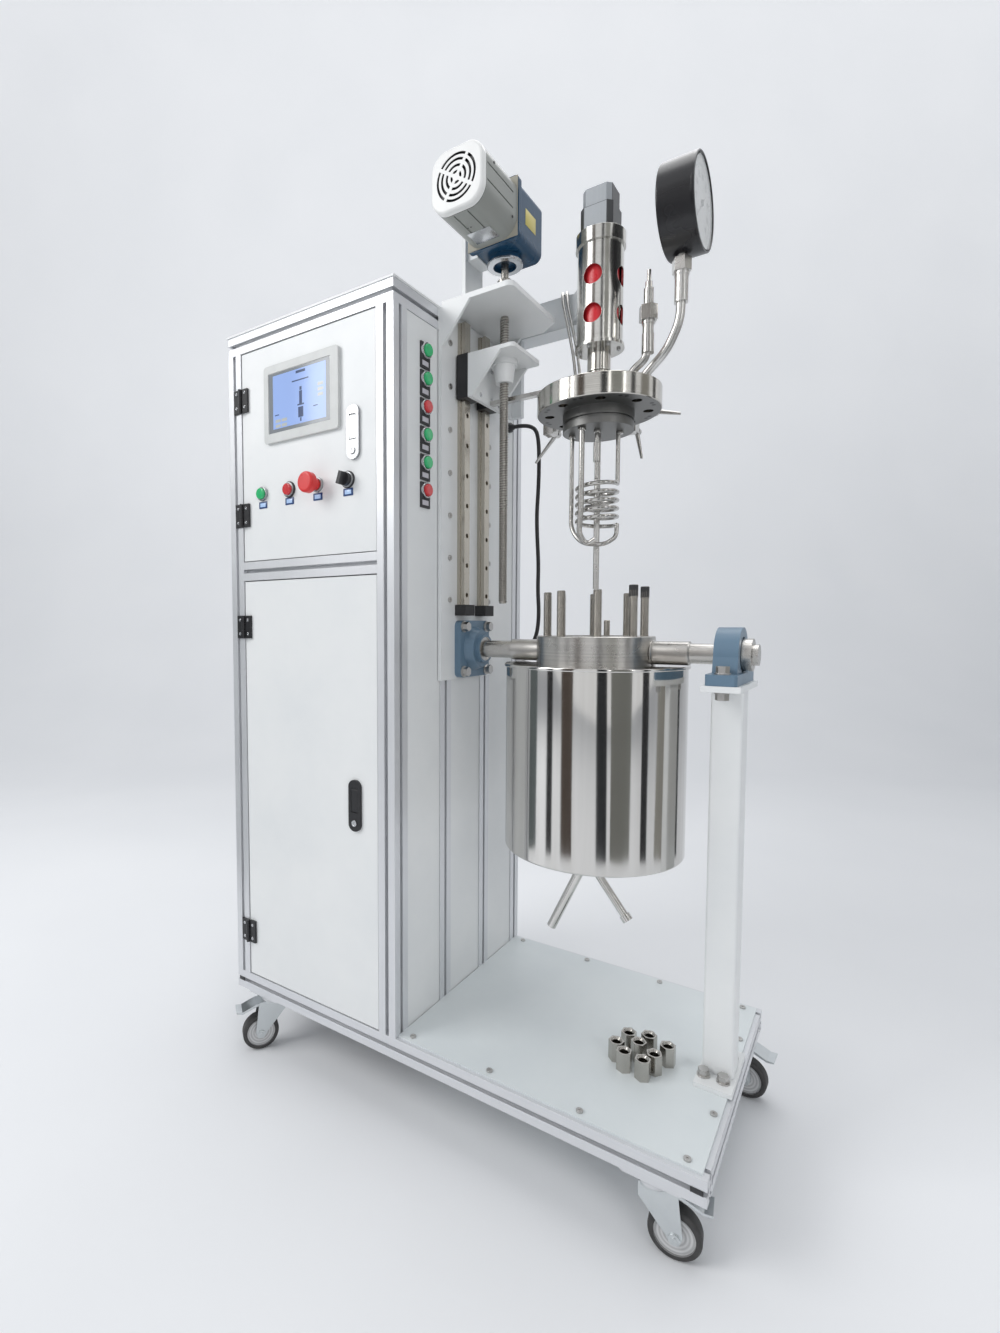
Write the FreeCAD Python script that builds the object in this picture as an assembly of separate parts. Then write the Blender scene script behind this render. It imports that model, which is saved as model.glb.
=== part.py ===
import FreeCAD, Part
import math
import os

# High pressure reactor on a wheeled aluminium frame, millimetres, +Z up.
# Origin: middle of the base frame, at floor level. X runs from the control cabinet to the
# support post, Y from the door side to the back.

V = FreeCAD.Vector
X_AXIS = V(1, 0, 0)
Y_AXIS = V(0, 1, 0)
Z_AXIS = V(0, 0, 1)

# Base frame, made of slotted square aluminium profile
DECK_LENGTH = 550.0
BASE_DEPTH = 500.0
PROFILE = 40.0
SLOT_MOUTH = 8.0
SLOT_LIP = 4.0
SLOT_DEPTH = 12.0
SLOT_WIDTH = 18.0
PROFILE_BORE = 8.0
DECK_THICKNESS = 3.0
DECK_INSET = 8.0
PANEL_GAP = 0.5

# Casters
CASTER_HEIGHT = 125.0
CASTER_INSET_FRONT = 80.0
CASTER_INSET_REAR = 50.0
CASTER_INSET_Y = 32.5
CASTER_PLATE = (95.0, 65.0, 3.0)
RACE_RADIUS = 26.0
RACE_HEIGHT = 12.0
SWIVEL_GAP = 0.3
KINGPIN_RADIUS = 5.0
RUNNING_FIT = 0.05
WHEEL_RADIUS = 39.0
WHEEL_WIDTH = 25.0
TYRE_THICKNESS = 9.0
WHEEL_TRAIL = 30.0
FORK_SHEET = 2.5
FORK_GAP = 31.0
AXLE_RADIUS = 4.0
PEDAL_REACH = 52.0

# Cabinet
CABINET_WIDTH = 450.0
HEADROOM = 78.0
UPPER_BAY = 478.0
TOP_PANEL_THICKNESS = 4.0
PANEL_THICKNESS = 4.0
PANEL_RECESS = 2.0
SIDE_POST_OFFSET = 79.0
DOOR_THICKNESS = 5.0
DOOR_GAP = 2.0
DOOR_RECESS = 2.0
HINGE_HEIGHT = 49.0
HINGE_LEAF = 17.0
HINGE_SHEET = 3.0
HINGE_KNUCKLE = 4.0
HINGE_PIN = 2.0
HINGE_END = 97.0

# Door controls and the operator panel
SCREEN_SIZE = (205.0, 154.0)
SCREEN_PLACE = (-5.5, 314.0)
SCREEN_WINDOW = (171.0, 120.0)
SCREEN_PROUD = 7.0
CONTROL_RISE = 139.0
CONTROL_PLACES = (-122.0, -43.0, 36.0, 115.0)
COLLAR_RADIUS = 14.5
COLLAR_PROUD = 6.0
BUTTON_RADIUS = 11.5
BUTTON_PROUD = 11.0
BUTTON_TRAVEL = 3.0
CONTROL_GAP = 0.3
ESTOP_HEAD_RADIUS = 20.0
ESTOP_HEAD_HEIGHT = 15.0
ESTOP_STEM_RADIUS = 11.0
ESTOP_PROUD = 38.0
ESTOP_TRAVEL = 5.0
KNOB_RADIUS = 12.5
KNOB_STEM = 7.5
KNOB_LENGTH = 28.0
LOCK_SIZE = (30.0, 100.0)
UPPER_LOCK_PLACE = (130.0, 224.0)
LOWER_LOCK_PLACE = (129.0, -6.0)
LOCK_PROUD = 5.0
PADDLE_SIZE = (16.0, 46.0, 3.0)
PADDLE_RAISE = 10.0
PADDLE_PIN = 1.0

# Row of lamps and push buttons on the side of the cabinet
SIDE_BUTTON_COUNT = 6
SIDE_BUTTON_DROP = 96.0
SIDE_BUTTON_PITCH = 52.0
SIDE_BUTTON_SHIFT = 2.5
SIDE_PLATE = (30.0, 48.0, 3.0)
SIDE_HEAD = 5.0

# Lift on the side of the cabinet
LIFT_PLATE_THICKNESS = 8.0
LIFT_PLATE_WIDTH = 216.0
LIFT_PLATE_DROP = 62.0
RAIL_SPACING = 80.0
RAIL_WIDTH = 20.0
RAIL_HEIGHT = 17.5
RAIL_HOLE_PITCH = 60.0
STOP_HEIGHT = 22.0
BLOCK_SIZE = (26.0, 44.0, 84.0)
BLOCK_GAP = 4.0
BLOCK_CLEARANCE = 0.4
LIFT_TRAVEL = 407.5
CARRIAGE_RISE = 25.0
BRACKET_SHEET = 8.0
BRACKET_REACH = 100.0
BRACKET_WIDTH = 120.0
SCREW_OFFSET = 87.0
SCREW_RADIUS = 9.0
SCREW_TAIL = 31.5
SCREW_SLEEVE = (15.0, 44.0)
SLEEVE_RISE = 16.0
RAIL_GAP = 4.0
JOURNAL_DEPTH = 20.0
SCREW_GAP = 0.35
NUT_RADIUS = 17.0
NUT_HEIGHT = 44.0
MOTOR_PLATE_THICKNESS = 10.0
MOTOR_PLATE_REACH = 159.0
MOTOR_PLATE_CORNER = 14.0
MOTOR_PLATE_CHAMFER = 34.0
GUSSET_SHEET = 6.0
GUSSET_SIZE = 62.0
GEARBOX_GAP = 87.0
GEARBOX_SIZE = (102.0, 100.0, 110.0)
GEARBOX_RING = 14.0
FLANGE_SHEET = 10.0
MOTOR_SIZE = 106.0
MOTOR_LENGTH = 130.0
BOOM_SIZE = (50.0, 64.0)
BOOM_CORNER = 24.0
BOOM_RISE = 187.0
BOOM_END_GAP = 81.0
BOOM_CLEARANCE = 4.0
ARM_SIZE = (14.0, 8.0)
ARM_LIFT = 27.0

# Vessel and its trunnions
VESSEL_SHIFT = 9.25
TRUNNION_HEIGHT = 893.0
SHAFT_RADIUS = 17.5
BOSS_RADIUS = 21.0
BOSS_REACH = 170.0
RING_RADIUS = 108.0
RING_HEIGHT = 52.0
RING_RISE = 29.0
VESSEL_BORE = 66.0
VESSEL_WALL = 12.0
VESSEL_DEPTH = 367.0
VESSEL_FLOOR = 14.0
FLOOR_CORNER = 20.0
JACKET_RADIUS = 165.0
JACKET_HEIGHT = 348.0
JACKET_SHEET = 2.0
JACKET_LIP = 3.0
JACKET_SEAM = 6.0
DRAIN_RADIUS = 12.0
DRAIN_BORE = 4.0
DRAIN_LENGTH = 52.0
PIPE_RADIUS = 9.0
OUTLET_LENGTH = 60.0
STUD_COUNT = 8
STUD_CIRCLE = 88.0
STUD_RADIUS = 8.0
STUD_LENGTH = 82.0
STUD_CLEARANCE = 1.0
GUIDE_PIN = (6.0, 30.0)
GUIDE_PLACE = (-8.0, 86.0)
GUIDE_SPARE = 4.0
NUT_ACROSS = 24.0
NUT_TALL = 34.0

# Lid, drive and the fittings that hang in the vessel
LID_RADIUS = 111.0
LID_THICKNESS = 38.0
SEAT_GAP = 0.5
SPIGOT_RADIUS = 64.0
SPIGOT_DEPTH = 33.0
NECK_RADIUS = 19.5
NECK_HEIGHT = 76.0
DRIVE_RADIUS = 41.0
DRIVE_HEIGHT = 178.0
DRIVE_WALL = 4.0
DRIVE_FLANGE = 44.5
DRIVE_FLANGE_HEIGHT = 23.0
WINDOW_RADIUS = 17.0
WINDOW_HEIGHTS = (53.0, 120.0)
ROTOR_RADIUS = 33.0
SHAFT_BORE_GAP = 0.08
DRIVE_MOTOR_SIDE = 60.0
DRIVE_MOTOR_HEIGHT = 44.0
DRIVE_COVER_HEIGHT = 32.0
DRIVE_COVER_STEP = 3.0
STIRRER_RADIUS = 5.5
STIRRER_REACH = 320.5
COIL_RADIUS = 36.0
COIL_TUBE = 4.0
COIL_PITCH = 15.0
COIL_TURNS = 5
COIL_DROP = 203.0
IMPELLER_RADIUS = 24.0
GAUGE_RADIUS = 75.0
GAUGE_DEPTH = 60.0
GAUGE_RISE = 277.0
GAUGE_STEM_X = 142.0
GAUGE_FRONT = 176.0

VALVE_PIPE_DROP = 19.0
VALVE_REACH = 32.0
VALVE_BLOCK = (22.0, 26.0, 22.0)
VALVE_PIPE_RADIUS = 5.5
SPINDLE_RADIUS = 3.5
# Handle from the vessel's axis and the lid's top, root of the pipe on the rim, then lean of
# the bar and its two arms
VALVES = {
    "left": ((-143.0, 140.0, -17.0), (-76.0, 76.0), (42.0, 74.0, 30.0)),
    "rear": ((17.0, 175.0, -30.0), (2.0, 106.0), (-11.0, 57.0, 30.0)),
    "right": ((67.0, 125.0, -12.0), (56.0, 90.0), (-75.0, 50.0, 36.0)),
}
# Transmitter above the lid: start, end and radius of each turned length
TRANSMITTER = (
    (47.0, 80.0, 10.5), (80.0, 96.0, 9.5), (96.0, 102.0, 11.0), (127.0, 156.0, 8.5),
    (156.0, 168.0, 6.0), (168.0, 188.0, 3.5),
)
TRANSMITTER_PLACE = (91.0, -10.0)
TRANSMITTER_HEXAGON = (28.0, 25.0)
TRANSMITTER_PIPE = 7.0
GAUGE_PIPE = 8.0
GAUGE_SHIFT = 3.0
CAPILLARY_RADIUS = 3.0
CAPILLARY_PITCH = 9.0
CAPILLARY_PLACE = (-64.0, 52.0)
LUG_SIZE = (28.0, 6.0, 14.0)
LUG_PLACES = ((-56.0, 34.0), (46.0, 44.0))

# Bearings and support post
FLANGE_BEARING = 117.0
FLANGE_BOLTS = 92.0
FLANGE_PLATE = 14.0
FLANGE_BOSS = (46.0, 38.0, 18.0)
FLANGE_LIP = (29.0, 8.0)
PILLOW_SHAFT_HEIGHT = 47.6
PILLOW_WIDTH = 38.0
PILLOW_FOOT = (48.0, 165.0, 18.0)
PILLOW_SHOULDER = (54.0, 42.0)
INSERT_RADIUS = 24.0
BLOCK_BOLTS = 66.0
POST_INSET = 31.5
POST_SIDE = 50.0
POST_WALL = 3.0
CAP_SIZE = (60.0, 170.0, 10.0)
FOOT_SIZE = (60.0, 128.0, 8.0)

# Screws, the loose nuts and the cords
WASHER = 2.5
LIFT_SCREW_PITCH = 84.0
DECK_SCREWS = 4
DECK_SCREW_INSET = (26.0, 32.0)
NUT_HEAP = (150.0, -57.0)
NUT_PLACES = [
    (-30.0, 24.5), (2.7, 37.3), (-40.5, -12.7), (-6.8, 7.7),
    (38.6, 25.1), (-20.4, -32.4), (24.9, -10.0), (13.0, -36.5),
]
GLAND_LENGTH = 14.0
CABLE_RADIUS = 4.5
HEATER_RADIUS = 3.5
CABLE_OUT = 76.0
CABLE_INSET = 20.0
CABLE_DROP = 155.0
CABLE_FALL = 520.0
CABLE_STEP = 56.0

frame_bottom = CASTER_HEIGHT
frame_top = CASTER_HEIGHT + PROFILE
half_length = (CABINET_WIDTH + DECK_LENGTH) / 2
half_depth = BASE_DEPTH / 2
cabinet_left = -half_length
cabinet_side = cabinet_left + CABINET_WIDTH
door_face = -half_depth + DOOR_RECESS
screw_x = cabinet_side + SCREW_OFFSET
lift_face = cabinet_side + LIFT_PLATE_THICKNESS
post_x = half_length - POST_INSET
bearing_face = lift_face + FLANGE_PLATE + FLANGE_BOSS[2] + FLANGE_LIP[1]
vessel_x = (bearing_face + post_x - PILLOW_WIDTH / 2) / 2 + VESSEL_SHIFT
ring_top = TRUNNION_HEIGHT + RING_RISE
lid_bottom = ring_top + SEAT_GAP + LIFT_TRAVEL
lid_top = lid_bottom + LID_THICKNESS
carriage_face = lift_face + BLOCK_GAP + BLOCK_SIZE[0]
carriage_bottom = lid_top + CARRIAGE_RISE
carriage_top = carriage_bottom + BLOCK_SIZE[2]
cabinet_top = carriage_top + HEADROOM
mid_rail_top = cabinet_top - UPPER_BAY
plate_top = cabinet_top + MOTOR_PLATE_THICKNESS
jacket_top = ring_top - RING_HEIGHT
jacket_bottom = jacket_top - JACKET_HEIGHT
deck_top = frame_top + DECK_THICKNESS
heater_ends = [(vessel_x + 40, 26), (vessel_x - 88, 80)]


def save(name, *solids):
    """Write one sub-part; several solids stay separate in one file."""
    shape = solids[0] if len(solids) == 1 else Part.makeCompound(list(solids))
    shape.exportStep(f"parts/{name}.step")


def block(x, y, z):
    """A box from three (low, high) pairs."""
    return Part.makeBox(x[1] - x[0], y[1] - y[0], z[1] - z[0], V(x[0], y[0], z[0]))


def centred(cx, cy, cz, sx, sy, sz):
    return Part.makeBox(sx, sy, sz, V(cx - sx / 2, cy - sy / 2, cz - sz / 2))


def rod(start, direction, radius, length):
    return Part.makeCylinder(radius, length, V(*start), direction)


def upright(x, y, low, high, radius):
    return Part.makeCylinder(radius, high - low, V(x, y, low), Z_AXIS)


def cone(start, direction, radius_a, radius_b, length):
    return Part.makeCone(radius_a, radius_b, length, V(*start), direction)


def polygon(points, direction):
    """A straight-sided prism from its outline and the vector it is pushed along."""
    wire = Part.makePolygon([V(*p) for p in points] + [V(*points[0])])
    return Part.Face(wire).extrude(direction)


def hexagon(x, y, z, across, height):
    """An upright hexagonal prism."""
    reach = across / math.sqrt(3)
    corners = [
        (x + reach * math.cos(math.radians(60 * k)), y + reach * math.sin(math.radians(60 * k)), z)
        for k in range(6)
    ]
    return polygon(corners, V(0, 0, height))


def fused(first, *others):
    shape = first.fuse(list(others)) if others else first
    return shape.removeSplitter()


def turned(shape, angle, centre, axis):
    copy = shape.copy()
    copy.rotate(V(*centre), axis, angle)
    return copy


def moved(shape, x=0.0, y=0.0, z=0.0):
    copy = shape.copy()
    copy.translate(V(x, y, z))
    return copy


def fillet_upright(shape, radius, test=lambda x, y: True):
    """Round the edges that stand along Z where the test of their place is true."""
    chosen = [
        e for e in shape.Edges
        if e.BoundBox.ZLength > 0.5
        and e.BoundBox.XLength < 0.01
        and e.BoundBox.YLength < 0.01
        and test(e.BoundBox.XMin, e.BoundBox.YMin)
    ]
    return shape.makeFillet(radius, chosen)


def profile(length):
    """Slotted square profile standing on Z = 0 round the Z axis."""
    side = PROFILE / 2
    body = Part.makeBox(PROFILE, PROFILE, length, V(-side, -side, 0))
    slot = [
        (-SLOT_MOUTH / 2, side, 0),
        (-SLOT_MOUTH / 2, side - SLOT_LIP, 0),
        (-SLOT_WIDTH / 2, side - SLOT_LIP, 0),
        (-SLOT_MOUTH / 2, side - SLOT_DEPTH, 0),
        (SLOT_MOUTH / 2, side - SLOT_DEPTH, 0),
        (SLOT_WIDTH / 2, side - SLOT_LIP, 0),
        (SLOT_MOUTH / 2, side - SLOT_LIP, 0),
        (SLOT_MOUTH / 2, side, 0),
    ]
    groove = polygon(slot, V(0, 0, length))
    grooves = [turned(groove, 90 * k, (0, 0, 0), Z_AXIS) for k in range(4)]
    core = upright(0, 0, 0, length, PROFILE_BORE / 2)
    return body.cut(grooves + [core])


def post(x, y, low, high):
    return moved(profile(high - low), x, y, low)


def rail_x(x0, x1, y, z):
    return moved(turned(profile(x1 - x0), 90, (0, 0, 0), Y_AXIS), x0, y, z)


def rail_y(x, y0, y1, z):
    return moved(turned(profile(y1 - y0), -90, (0, 0, 0), X_AXIS), x, y0, z)


def tube_path(points, radius, arc_share=0.45, bore=0.0):
    """A round tube along straight runs joined by tangent arcs, with the radius of each arc."""
    nodes = [V(*p) for p in points]
    edges = []
    radii = []
    start = nodes[0]
    for before, corner, after in zip(nodes, nodes[1:], nodes[2:]):
        back = (before - corner)
        on = (after - corner)
        turn = math.pi - back.getAngle(on)
        shorter = min(back.Length, on.Length)
        cut = arc_share * shorter
        arc_radius = cut / math.tan(turn / 2)
        back.normalize()
        on.normalize()
        first = corner + back * cut
        last = corner + on * cut
        centre = corner + (back + on) / (back + on).Length * (arc_radius / math.cos(turn / 2))
        middle = centre + (corner - centre) / (corner - centre).Length * arc_radius
        edges.append(Part.LineSegment(start, first).toShape())
        edges.append(Part.Arc(first, middle, last).toShape())
        radii.append(arc_radius)
        start = last
    edges.append(Part.LineSegment(start, nodes[-1]).toShape())
    path = Part.Wire(edges)
    direction = nodes[1] - nodes[0]

    def swept(r):
        ring = Part.Wire(Part.Circle(nodes[0], direction, r).toShape())
        return path.makePipeShell([ring], True, False)

    tube = swept(radius)
    if bore:
        tube = tube.cut(swept(bore))
    return tube, radii, path.Length


# Base frame and deck


def base_frame():
    """Two long rails, three cross rails and the bolted-on plates of the four casters."""
    mid = frame_bottom + PROFILE / 2
    side = half_depth - PROFILE / 2
    solids = [rail_x(-half_length, half_length, y, mid) for y in (-side, side)]
    inner = half_depth - PROFILE
    cross = (-half_length + PROFILE / 2, cabinet_side - PROFILE / 2, half_length - PROFILE / 2)
    solids += [rail_y(x, -inner, inner, mid) for x in cross]
    return solids + [caster_plate(x, y) for x, y, _ in caster_places().values()]


def caster_places():
    """Swivel axis of each caster and the way its wheel trails, in degrees."""
    front = half_length - CASTER_INSET_FRONT
    rear = half_length - CASTER_INSET_REAR
    y = half_depth - CASTER_INSET_Y
    return {"front_left": (-front, -y, 236), "front_right": (front, -y, 8),
            "rear_left": (-rear, y, 150), "rear_right": (rear, y, -4)}


fork_top = CASTER_HEIGHT - CASTER_PLATE[2] - RACE_HEIGHT - SWIVEL_GAP
pin_head_radius = KINGPIN_RADIUS + 4
pin_head_top = fork_top - FORK_SHEET - 1


def caster_plate(x, y):
    """Top plate with the fixed bearing race and the kingpin."""
    length, width, sheet = CASTER_PLATE
    low = frame_bottom - sheet
    plate = block((x - length / 2, x + length / 2), (y - width / 2, y + width / 2),
                  (low, frame_bottom))
    plate = fillet_upright(plate, 8)
    race_low = low - RACE_HEIGHT
    dish = cone((x, y, race_low), Z_AXIS, RACE_RADIUS, RACE_RADIUS - 4, RACE_HEIGHT)
    pin = upright(x, y, pin_head_top - 1, low, KINGPIN_RADIUS)
    head = upright(x, y, pin_head_top - 5, pin_head_top, pin_head_radius)
    return fused(plate, dish, pin, head)


def caster_fork(x, y, angle):
    """Pressed fork with its lower race, axle and brake pedal, built trailing along +X."""
    outer = FORK_GAP / 2 + FORK_SHEET
    crown_low = fork_top - FORK_SHEET - 1
    crown = fused(
        upright(0, 0, crown_low, fork_top, RACE_RADIUS),
        block((-14, WHEEL_TRAIL), (-outer, outer), (crown_low, fork_top)),
    )
    cheeks = []
    for side in (-1, 1):
        y0 = side * FORK_GAP / 2
        cheeks.append(polygon(
            [(-22, y0, fork_top), (WHEEL_TRAIL + 4, y0, fork_top),
             (WHEEL_TRAIL + 12, y0, WHEEL_RADIUS + 4), (WHEEL_TRAIL + 7, y0, WHEEL_RADIUS - 9),
             (WHEEL_TRAIL - 5, y0, WHEEL_RADIUS - 10), (WHEEL_TRAIL - 12, y0, WHEEL_RADIUS + 2),
             (-22, y0, fork_top - 22)],
            V(0, side * FORK_SHEET, 0),
        ))
        cheeks.append(rod((WHEEL_TRAIL, y0, WHEEL_RADIUS), V(0, side, 0), 8.5, FORK_SHEET + 2))
    axle = rod((WHEEL_TRAIL, -outer - 3, WHEEL_RADIUS), Y_AXIS, AXLE_RADIUS, 2 * outer + 6)
    tip = WHEEL_TRAIL + PEDAL_REACH
    pedal = polygon(
        [(WHEEL_TRAIL - 4, -outer, fork_top - 1), (WHEEL_TRAIL + 12, -outer, fork_top - 3),
         (tip - 12, -outer, fork_top - 14), (tip, -outer, fork_top - 13),
         (tip, -outer, fork_top - 16), (tip - 13, -outer, fork_top - 18),
         (WHEEL_TRAIL + 10, -outer, fork_top - 8), (WHEEL_TRAIL - 4, -outer, fork_top - 5)],
        V(0, 2 * outer, 0),
    )
    hole = upright(0, 0, 0, fork_top + 1, KINGPIN_RADIUS + RUNNING_FIT)
    recess = upright(0, 0, 0, fork_top - FORK_SHEET, pin_head_radius + 1)
    fork = fused(crown, *cheeks, axle, pedal).cut([hole, recess])
    return moved(turned(fork, angle, (0, 0, 0), Z_AXIS), x, y)


def caster_wheel(x, y, angle):
    """Rubber tyre on a plastic centre, turning on the axle."""
    hub_half = FORK_GAP / 2 - SWIVEL_GAP
    rim = WHEEL_RADIUS - TYRE_THICKNESS
    tyre = rod((WHEEL_TRAIL, -WHEEL_WIDTH / 2, WHEEL_RADIUS), Y_AXIS, WHEEL_RADIUS, WHEEL_WIDTH)
    tyre = tyre.makeFillet(5, [e for e in tyre.Edges if e.Length > 6 * WHEEL_RADIUS])
    dishes = [
        rod((WHEEL_TRAIL, side * WHEEL_WIDTH / 2, WHEEL_RADIUS), V(0, -side, 0), rim, 3)
        for side in (-1, 1)
    ]
    hub = rod((WHEEL_TRAIL, -hub_half, WHEEL_RADIUS), Y_AXIS, 10, 2 * hub_half)
    bore = rod((WHEEL_TRAIL, -hub_half - 1, WHEEL_RADIUS), Y_AXIS,
               AXLE_RADIUS + RUNNING_FIT, 2 * hub_half + 2)
    wheel = fused(tyre.cut(dishes), hub).cut(bore)
    return moved(turned(wheel, angle, (0, 0, 0), Z_AXIS), x, y)


def deck():
    """White sheet screwed over the open part of the frame."""
    edge = half_depth - DECK_INSET
    return block((cabinet_side, half_length - DECK_INSET), (-edge, edge), (frame_top, deck_top))


# Cabinet


def top_rails():
    """Four rails round the top, mitred over the corner posts."""
    low = cabinet_top - PROFILE
    mid = cabinet_top - PROFILE / 2
    beside_x_rails = []
    beside_y_rails = []
    for x, inward in ((cabinet_left, PROFILE), (cabinet_side, -PROFILE)):
        for y, back in ((-half_depth, PROFILE), (half_depth, -PROFILE)):
            outer = (x, y, low)
            inner = (x + inward, y + back, low)
            beside_x_rails.append(polygon([outer, (x, y + back, low), inner], V(0, 0, PROFILE)))
            beside_y_rails.append(polygon([outer, (x + inward, y, low), inner], V(0, 0, PROFILE)))
    y1 = half_depth - PROFILE / 2
    x0 = cabinet_left + PROFILE / 2
    x1 = cabinet_side - PROFILE / 2
    rails = [rail_x(cabinet_left, cabinet_side, y, mid).cut(beside_x_rails) for y in (-y1, y1)]
    return rails + [rail_y(x, -half_depth, half_depth, mid).cut(beside_y_rails) for x in (x0, x1)]


def cabinet_frame():
    """Corner posts, two lift posts on the side, top rails and the rail between the doors."""
    x0 = cabinet_left + PROFILE / 2
    x1 = cabinet_side - PROFILE / 2
    y1 = half_depth - PROFILE / 2
    rail_low = cabinet_top - PROFILE
    places = [(x, y) for x in (x0, x1) for y in (-y1, y1)]
    places += [(x1, y) for y in (-SIDE_POST_OFFSET, SIDE_POST_OFFSET)]
    solids = [post(x, y, frame_top, rail_low) for x, y in places] + top_rails()
    between = (cabinet_left + PROFILE, cabinet_side - PROFILE)
    solids.append(rail_x(*between, -y1, mid_rail_top - PROFILE / 2))
    return solids


def cabinet_panels():
    """Top, back, left side and the three strips of the right side, set between the profiles."""
    gap = PANEL_GAP
    top = block((cabinet_left - 2, cabinet_side + 2), (-half_depth - 2, half_depth + 2),
                (cabinet_top, cabinet_top + TOP_PANEL_THICKNESS))
    z = (frame_top + gap, cabinet_top - PROFILE - gap)
    inner_y = half_depth - PROFILE - gap
    left = block((cabinet_left + PANEL_RECESS, cabinet_left + PANEL_RECESS + PANEL_THICKNESS),
                 (-inner_y, inner_y), z)
    back_x = (cabinet_left + PROFILE + gap, cabinet_side - PROFILE - gap)
    back_y = half_depth - PANEL_RECESS
    back = block(back_x, (back_y - PANEL_THICKNESS, back_y), z)
    x = (panel_face - PANEL_THICKNESS, panel_face)
    inner_post = SIDE_POST_OFFSET - PROFILE / 2 - gap
    outer_post = SIDE_POST_OFFSET + PROFILE / 2 + gap
    strips = [(-inner_y, -outer_post), (-inner_post, inner_post), (outer_post, inner_y)]
    right = [block(x, strip, z) for strip in strips]
    return [top, left, back] + right


panel_face = cabinet_side - PANEL_RECESS
door_x = (cabinet_left + PROFILE + DOOR_GAP, cabinet_side - PROFILE - DOOR_GAP)
upper_door_z = (mid_rail_top + DOOR_GAP, cabinet_top - PROFILE - DOOR_GAP)
lower_door_z = (frame_top + DOOR_GAP, mid_rail_top - PROFILE - DOOR_GAP)
door_middle = (door_x[0] + door_x[1]) / 2
control_z = mid_rail_top + CONTROL_RISE
control_x = [door_middle + place for place in CONTROL_PLACES]
upper_lock = (door_middle + UPPER_LOCK_PLACE[0], mid_rail_top + UPPER_LOCK_PLACE[1])
lower_lock = (door_middle + LOWER_LOCK_PLACE[0], sum(lower_door_z) / 2 + LOWER_LOCK_PLACE[1])
hinge_x = cabinet_left + PROFILE + DOOR_GAP / 2
hinge_y = -half_depth - HINGE_KNUCKLE - SWIVEL_GAP
hinge_heights = {
    "upper": (upper_door_z[0] + HINGE_END, upper_door_z[1] - HINGE_END),
    "lower": (lower_door_z[0] + HINGE_END, lower_door_z[1] - HINGE_END),
}


def hinge_fixed(z):
    """Leaf screwed to the post, its two outer knuckles and the pin."""
    half = HINGE_HEIGHT / 2
    third = HINGE_HEIGHT / 6
    back = -half_depth
    leaf = block((hinge_x - HINGE_KNUCKLE - HINGE_LEAF, hinge_x - HINGE_KNUCKLE),
                 (back - HINGE_SHEET, back), (z - half, z + half))
    parts = [leaf]
    for low, high in ((z - half, z - third), (z + third, z + half)):
        parts.append(upright(hinge_x, hinge_y, low, high, HINGE_KNUCKLE))
        parts.append(block((hinge_x - HINGE_KNUCKLE - 1, hinge_x),
                           (back - HINGE_SHEET, back - SWIVEL_GAP), (low, high)))
    pin = upright(hinge_x, hinge_y, z - half, z + half, HINGE_PIN)
    return fused(*parts, pin)


def hinge_moving(z):
    """Middle knuckle and the leaf that lies on the door."""
    half = HINGE_HEIGHT / 2
    third = HINGE_HEIGHT / 6 - SWIVEL_GAP
    leaf = block((hinge_x + HINGE_KNUCKLE + 1, hinge_x + HINGE_KNUCKLE + HINGE_LEAF),
                 (-half_depth - HINGE_SHEET, door_face), (z - half, z + half))
    knuckle = upright(hinge_x, hinge_y, z - third, z + third, HINGE_KNUCKLE)
    arm = block((hinge_x, hinge_x + HINGE_KNUCKLE + 2),
                (-half_depth - HINGE_SHEET, -half_depth - SWIVEL_GAP), (z - third, z + third))
    bore = upright(hinge_x, hinge_y, z - half, z + half, HINGE_PIN + RUNNING_FIT)
    return fused(leaf, knuckle, arm).cut(bore)


def door(z, heights):
    sheet = block(door_x, (door_face, door_face + DOOR_THICKNESS), z)
    return fused(sheet, *[hinge_moving(h) for h in heights])


paddle_axis = LOCK_PROUD - PADDLE_SIZE[2] / 2 - 0.5


def lock_plate(x, z):
    """Round-ended handle plate with a window, the hinge pin of its paddle and a key barrel."""
    half_w = LOCK_SIZE[0] / 2
    half_h = LOCK_SIZE[1] / 2
    plate = block((x - half_w, x + half_w), (door_face - LOCK_PROUD, door_face), (z - half_h, z + half_h))
    edges = [e for e in plate.Edges if e.BoundBox.YLength > 1]
    plate = plate.makeFillet(half_w - 1, edges)
    w, h, _ = PADDLE_SIZE
    middle = z + PADDLE_RAISE
    window = centred(x, door_face - LOCK_PROUD, middle, w + 1, 3 * LOCK_PROUD, h + 1)
    pin = rod((x - w / 2 - 2, door_face - paddle_axis, middle + h / 2 - 2), X_AXIS, PADDLE_PIN, w + 4)
    barrel = rod((x, door_face - LOCK_PROUD - 1, z - half_h + 16), Y_AXIS, 7, LOCK_PROUD)
    return fused(plate.cut(window), pin, barrel)


def lock_paddle(x, z):
    """The lever that is lifted to open the door, hinged at its top edge."""
    w, h, sheet = PADDLE_SIZE
    middle = z + PADDLE_RAISE
    low = door_face - paddle_axis
    plate = centred(x, low, middle - 1, w, sheet, h - 4)
    knuckle = rod((x - w / 2, low, middle + h / 2 - 2), X_AXIS, sheet / 2 + 0.3, w)
    bore = rod((x - w, low, middle + h / 2 - 2), X_AXIS, PADDLE_PIN + RUNNING_FIT, 2 * w)
    return fused(plate, knuckle).cut(bore)


# Door controls


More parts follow.
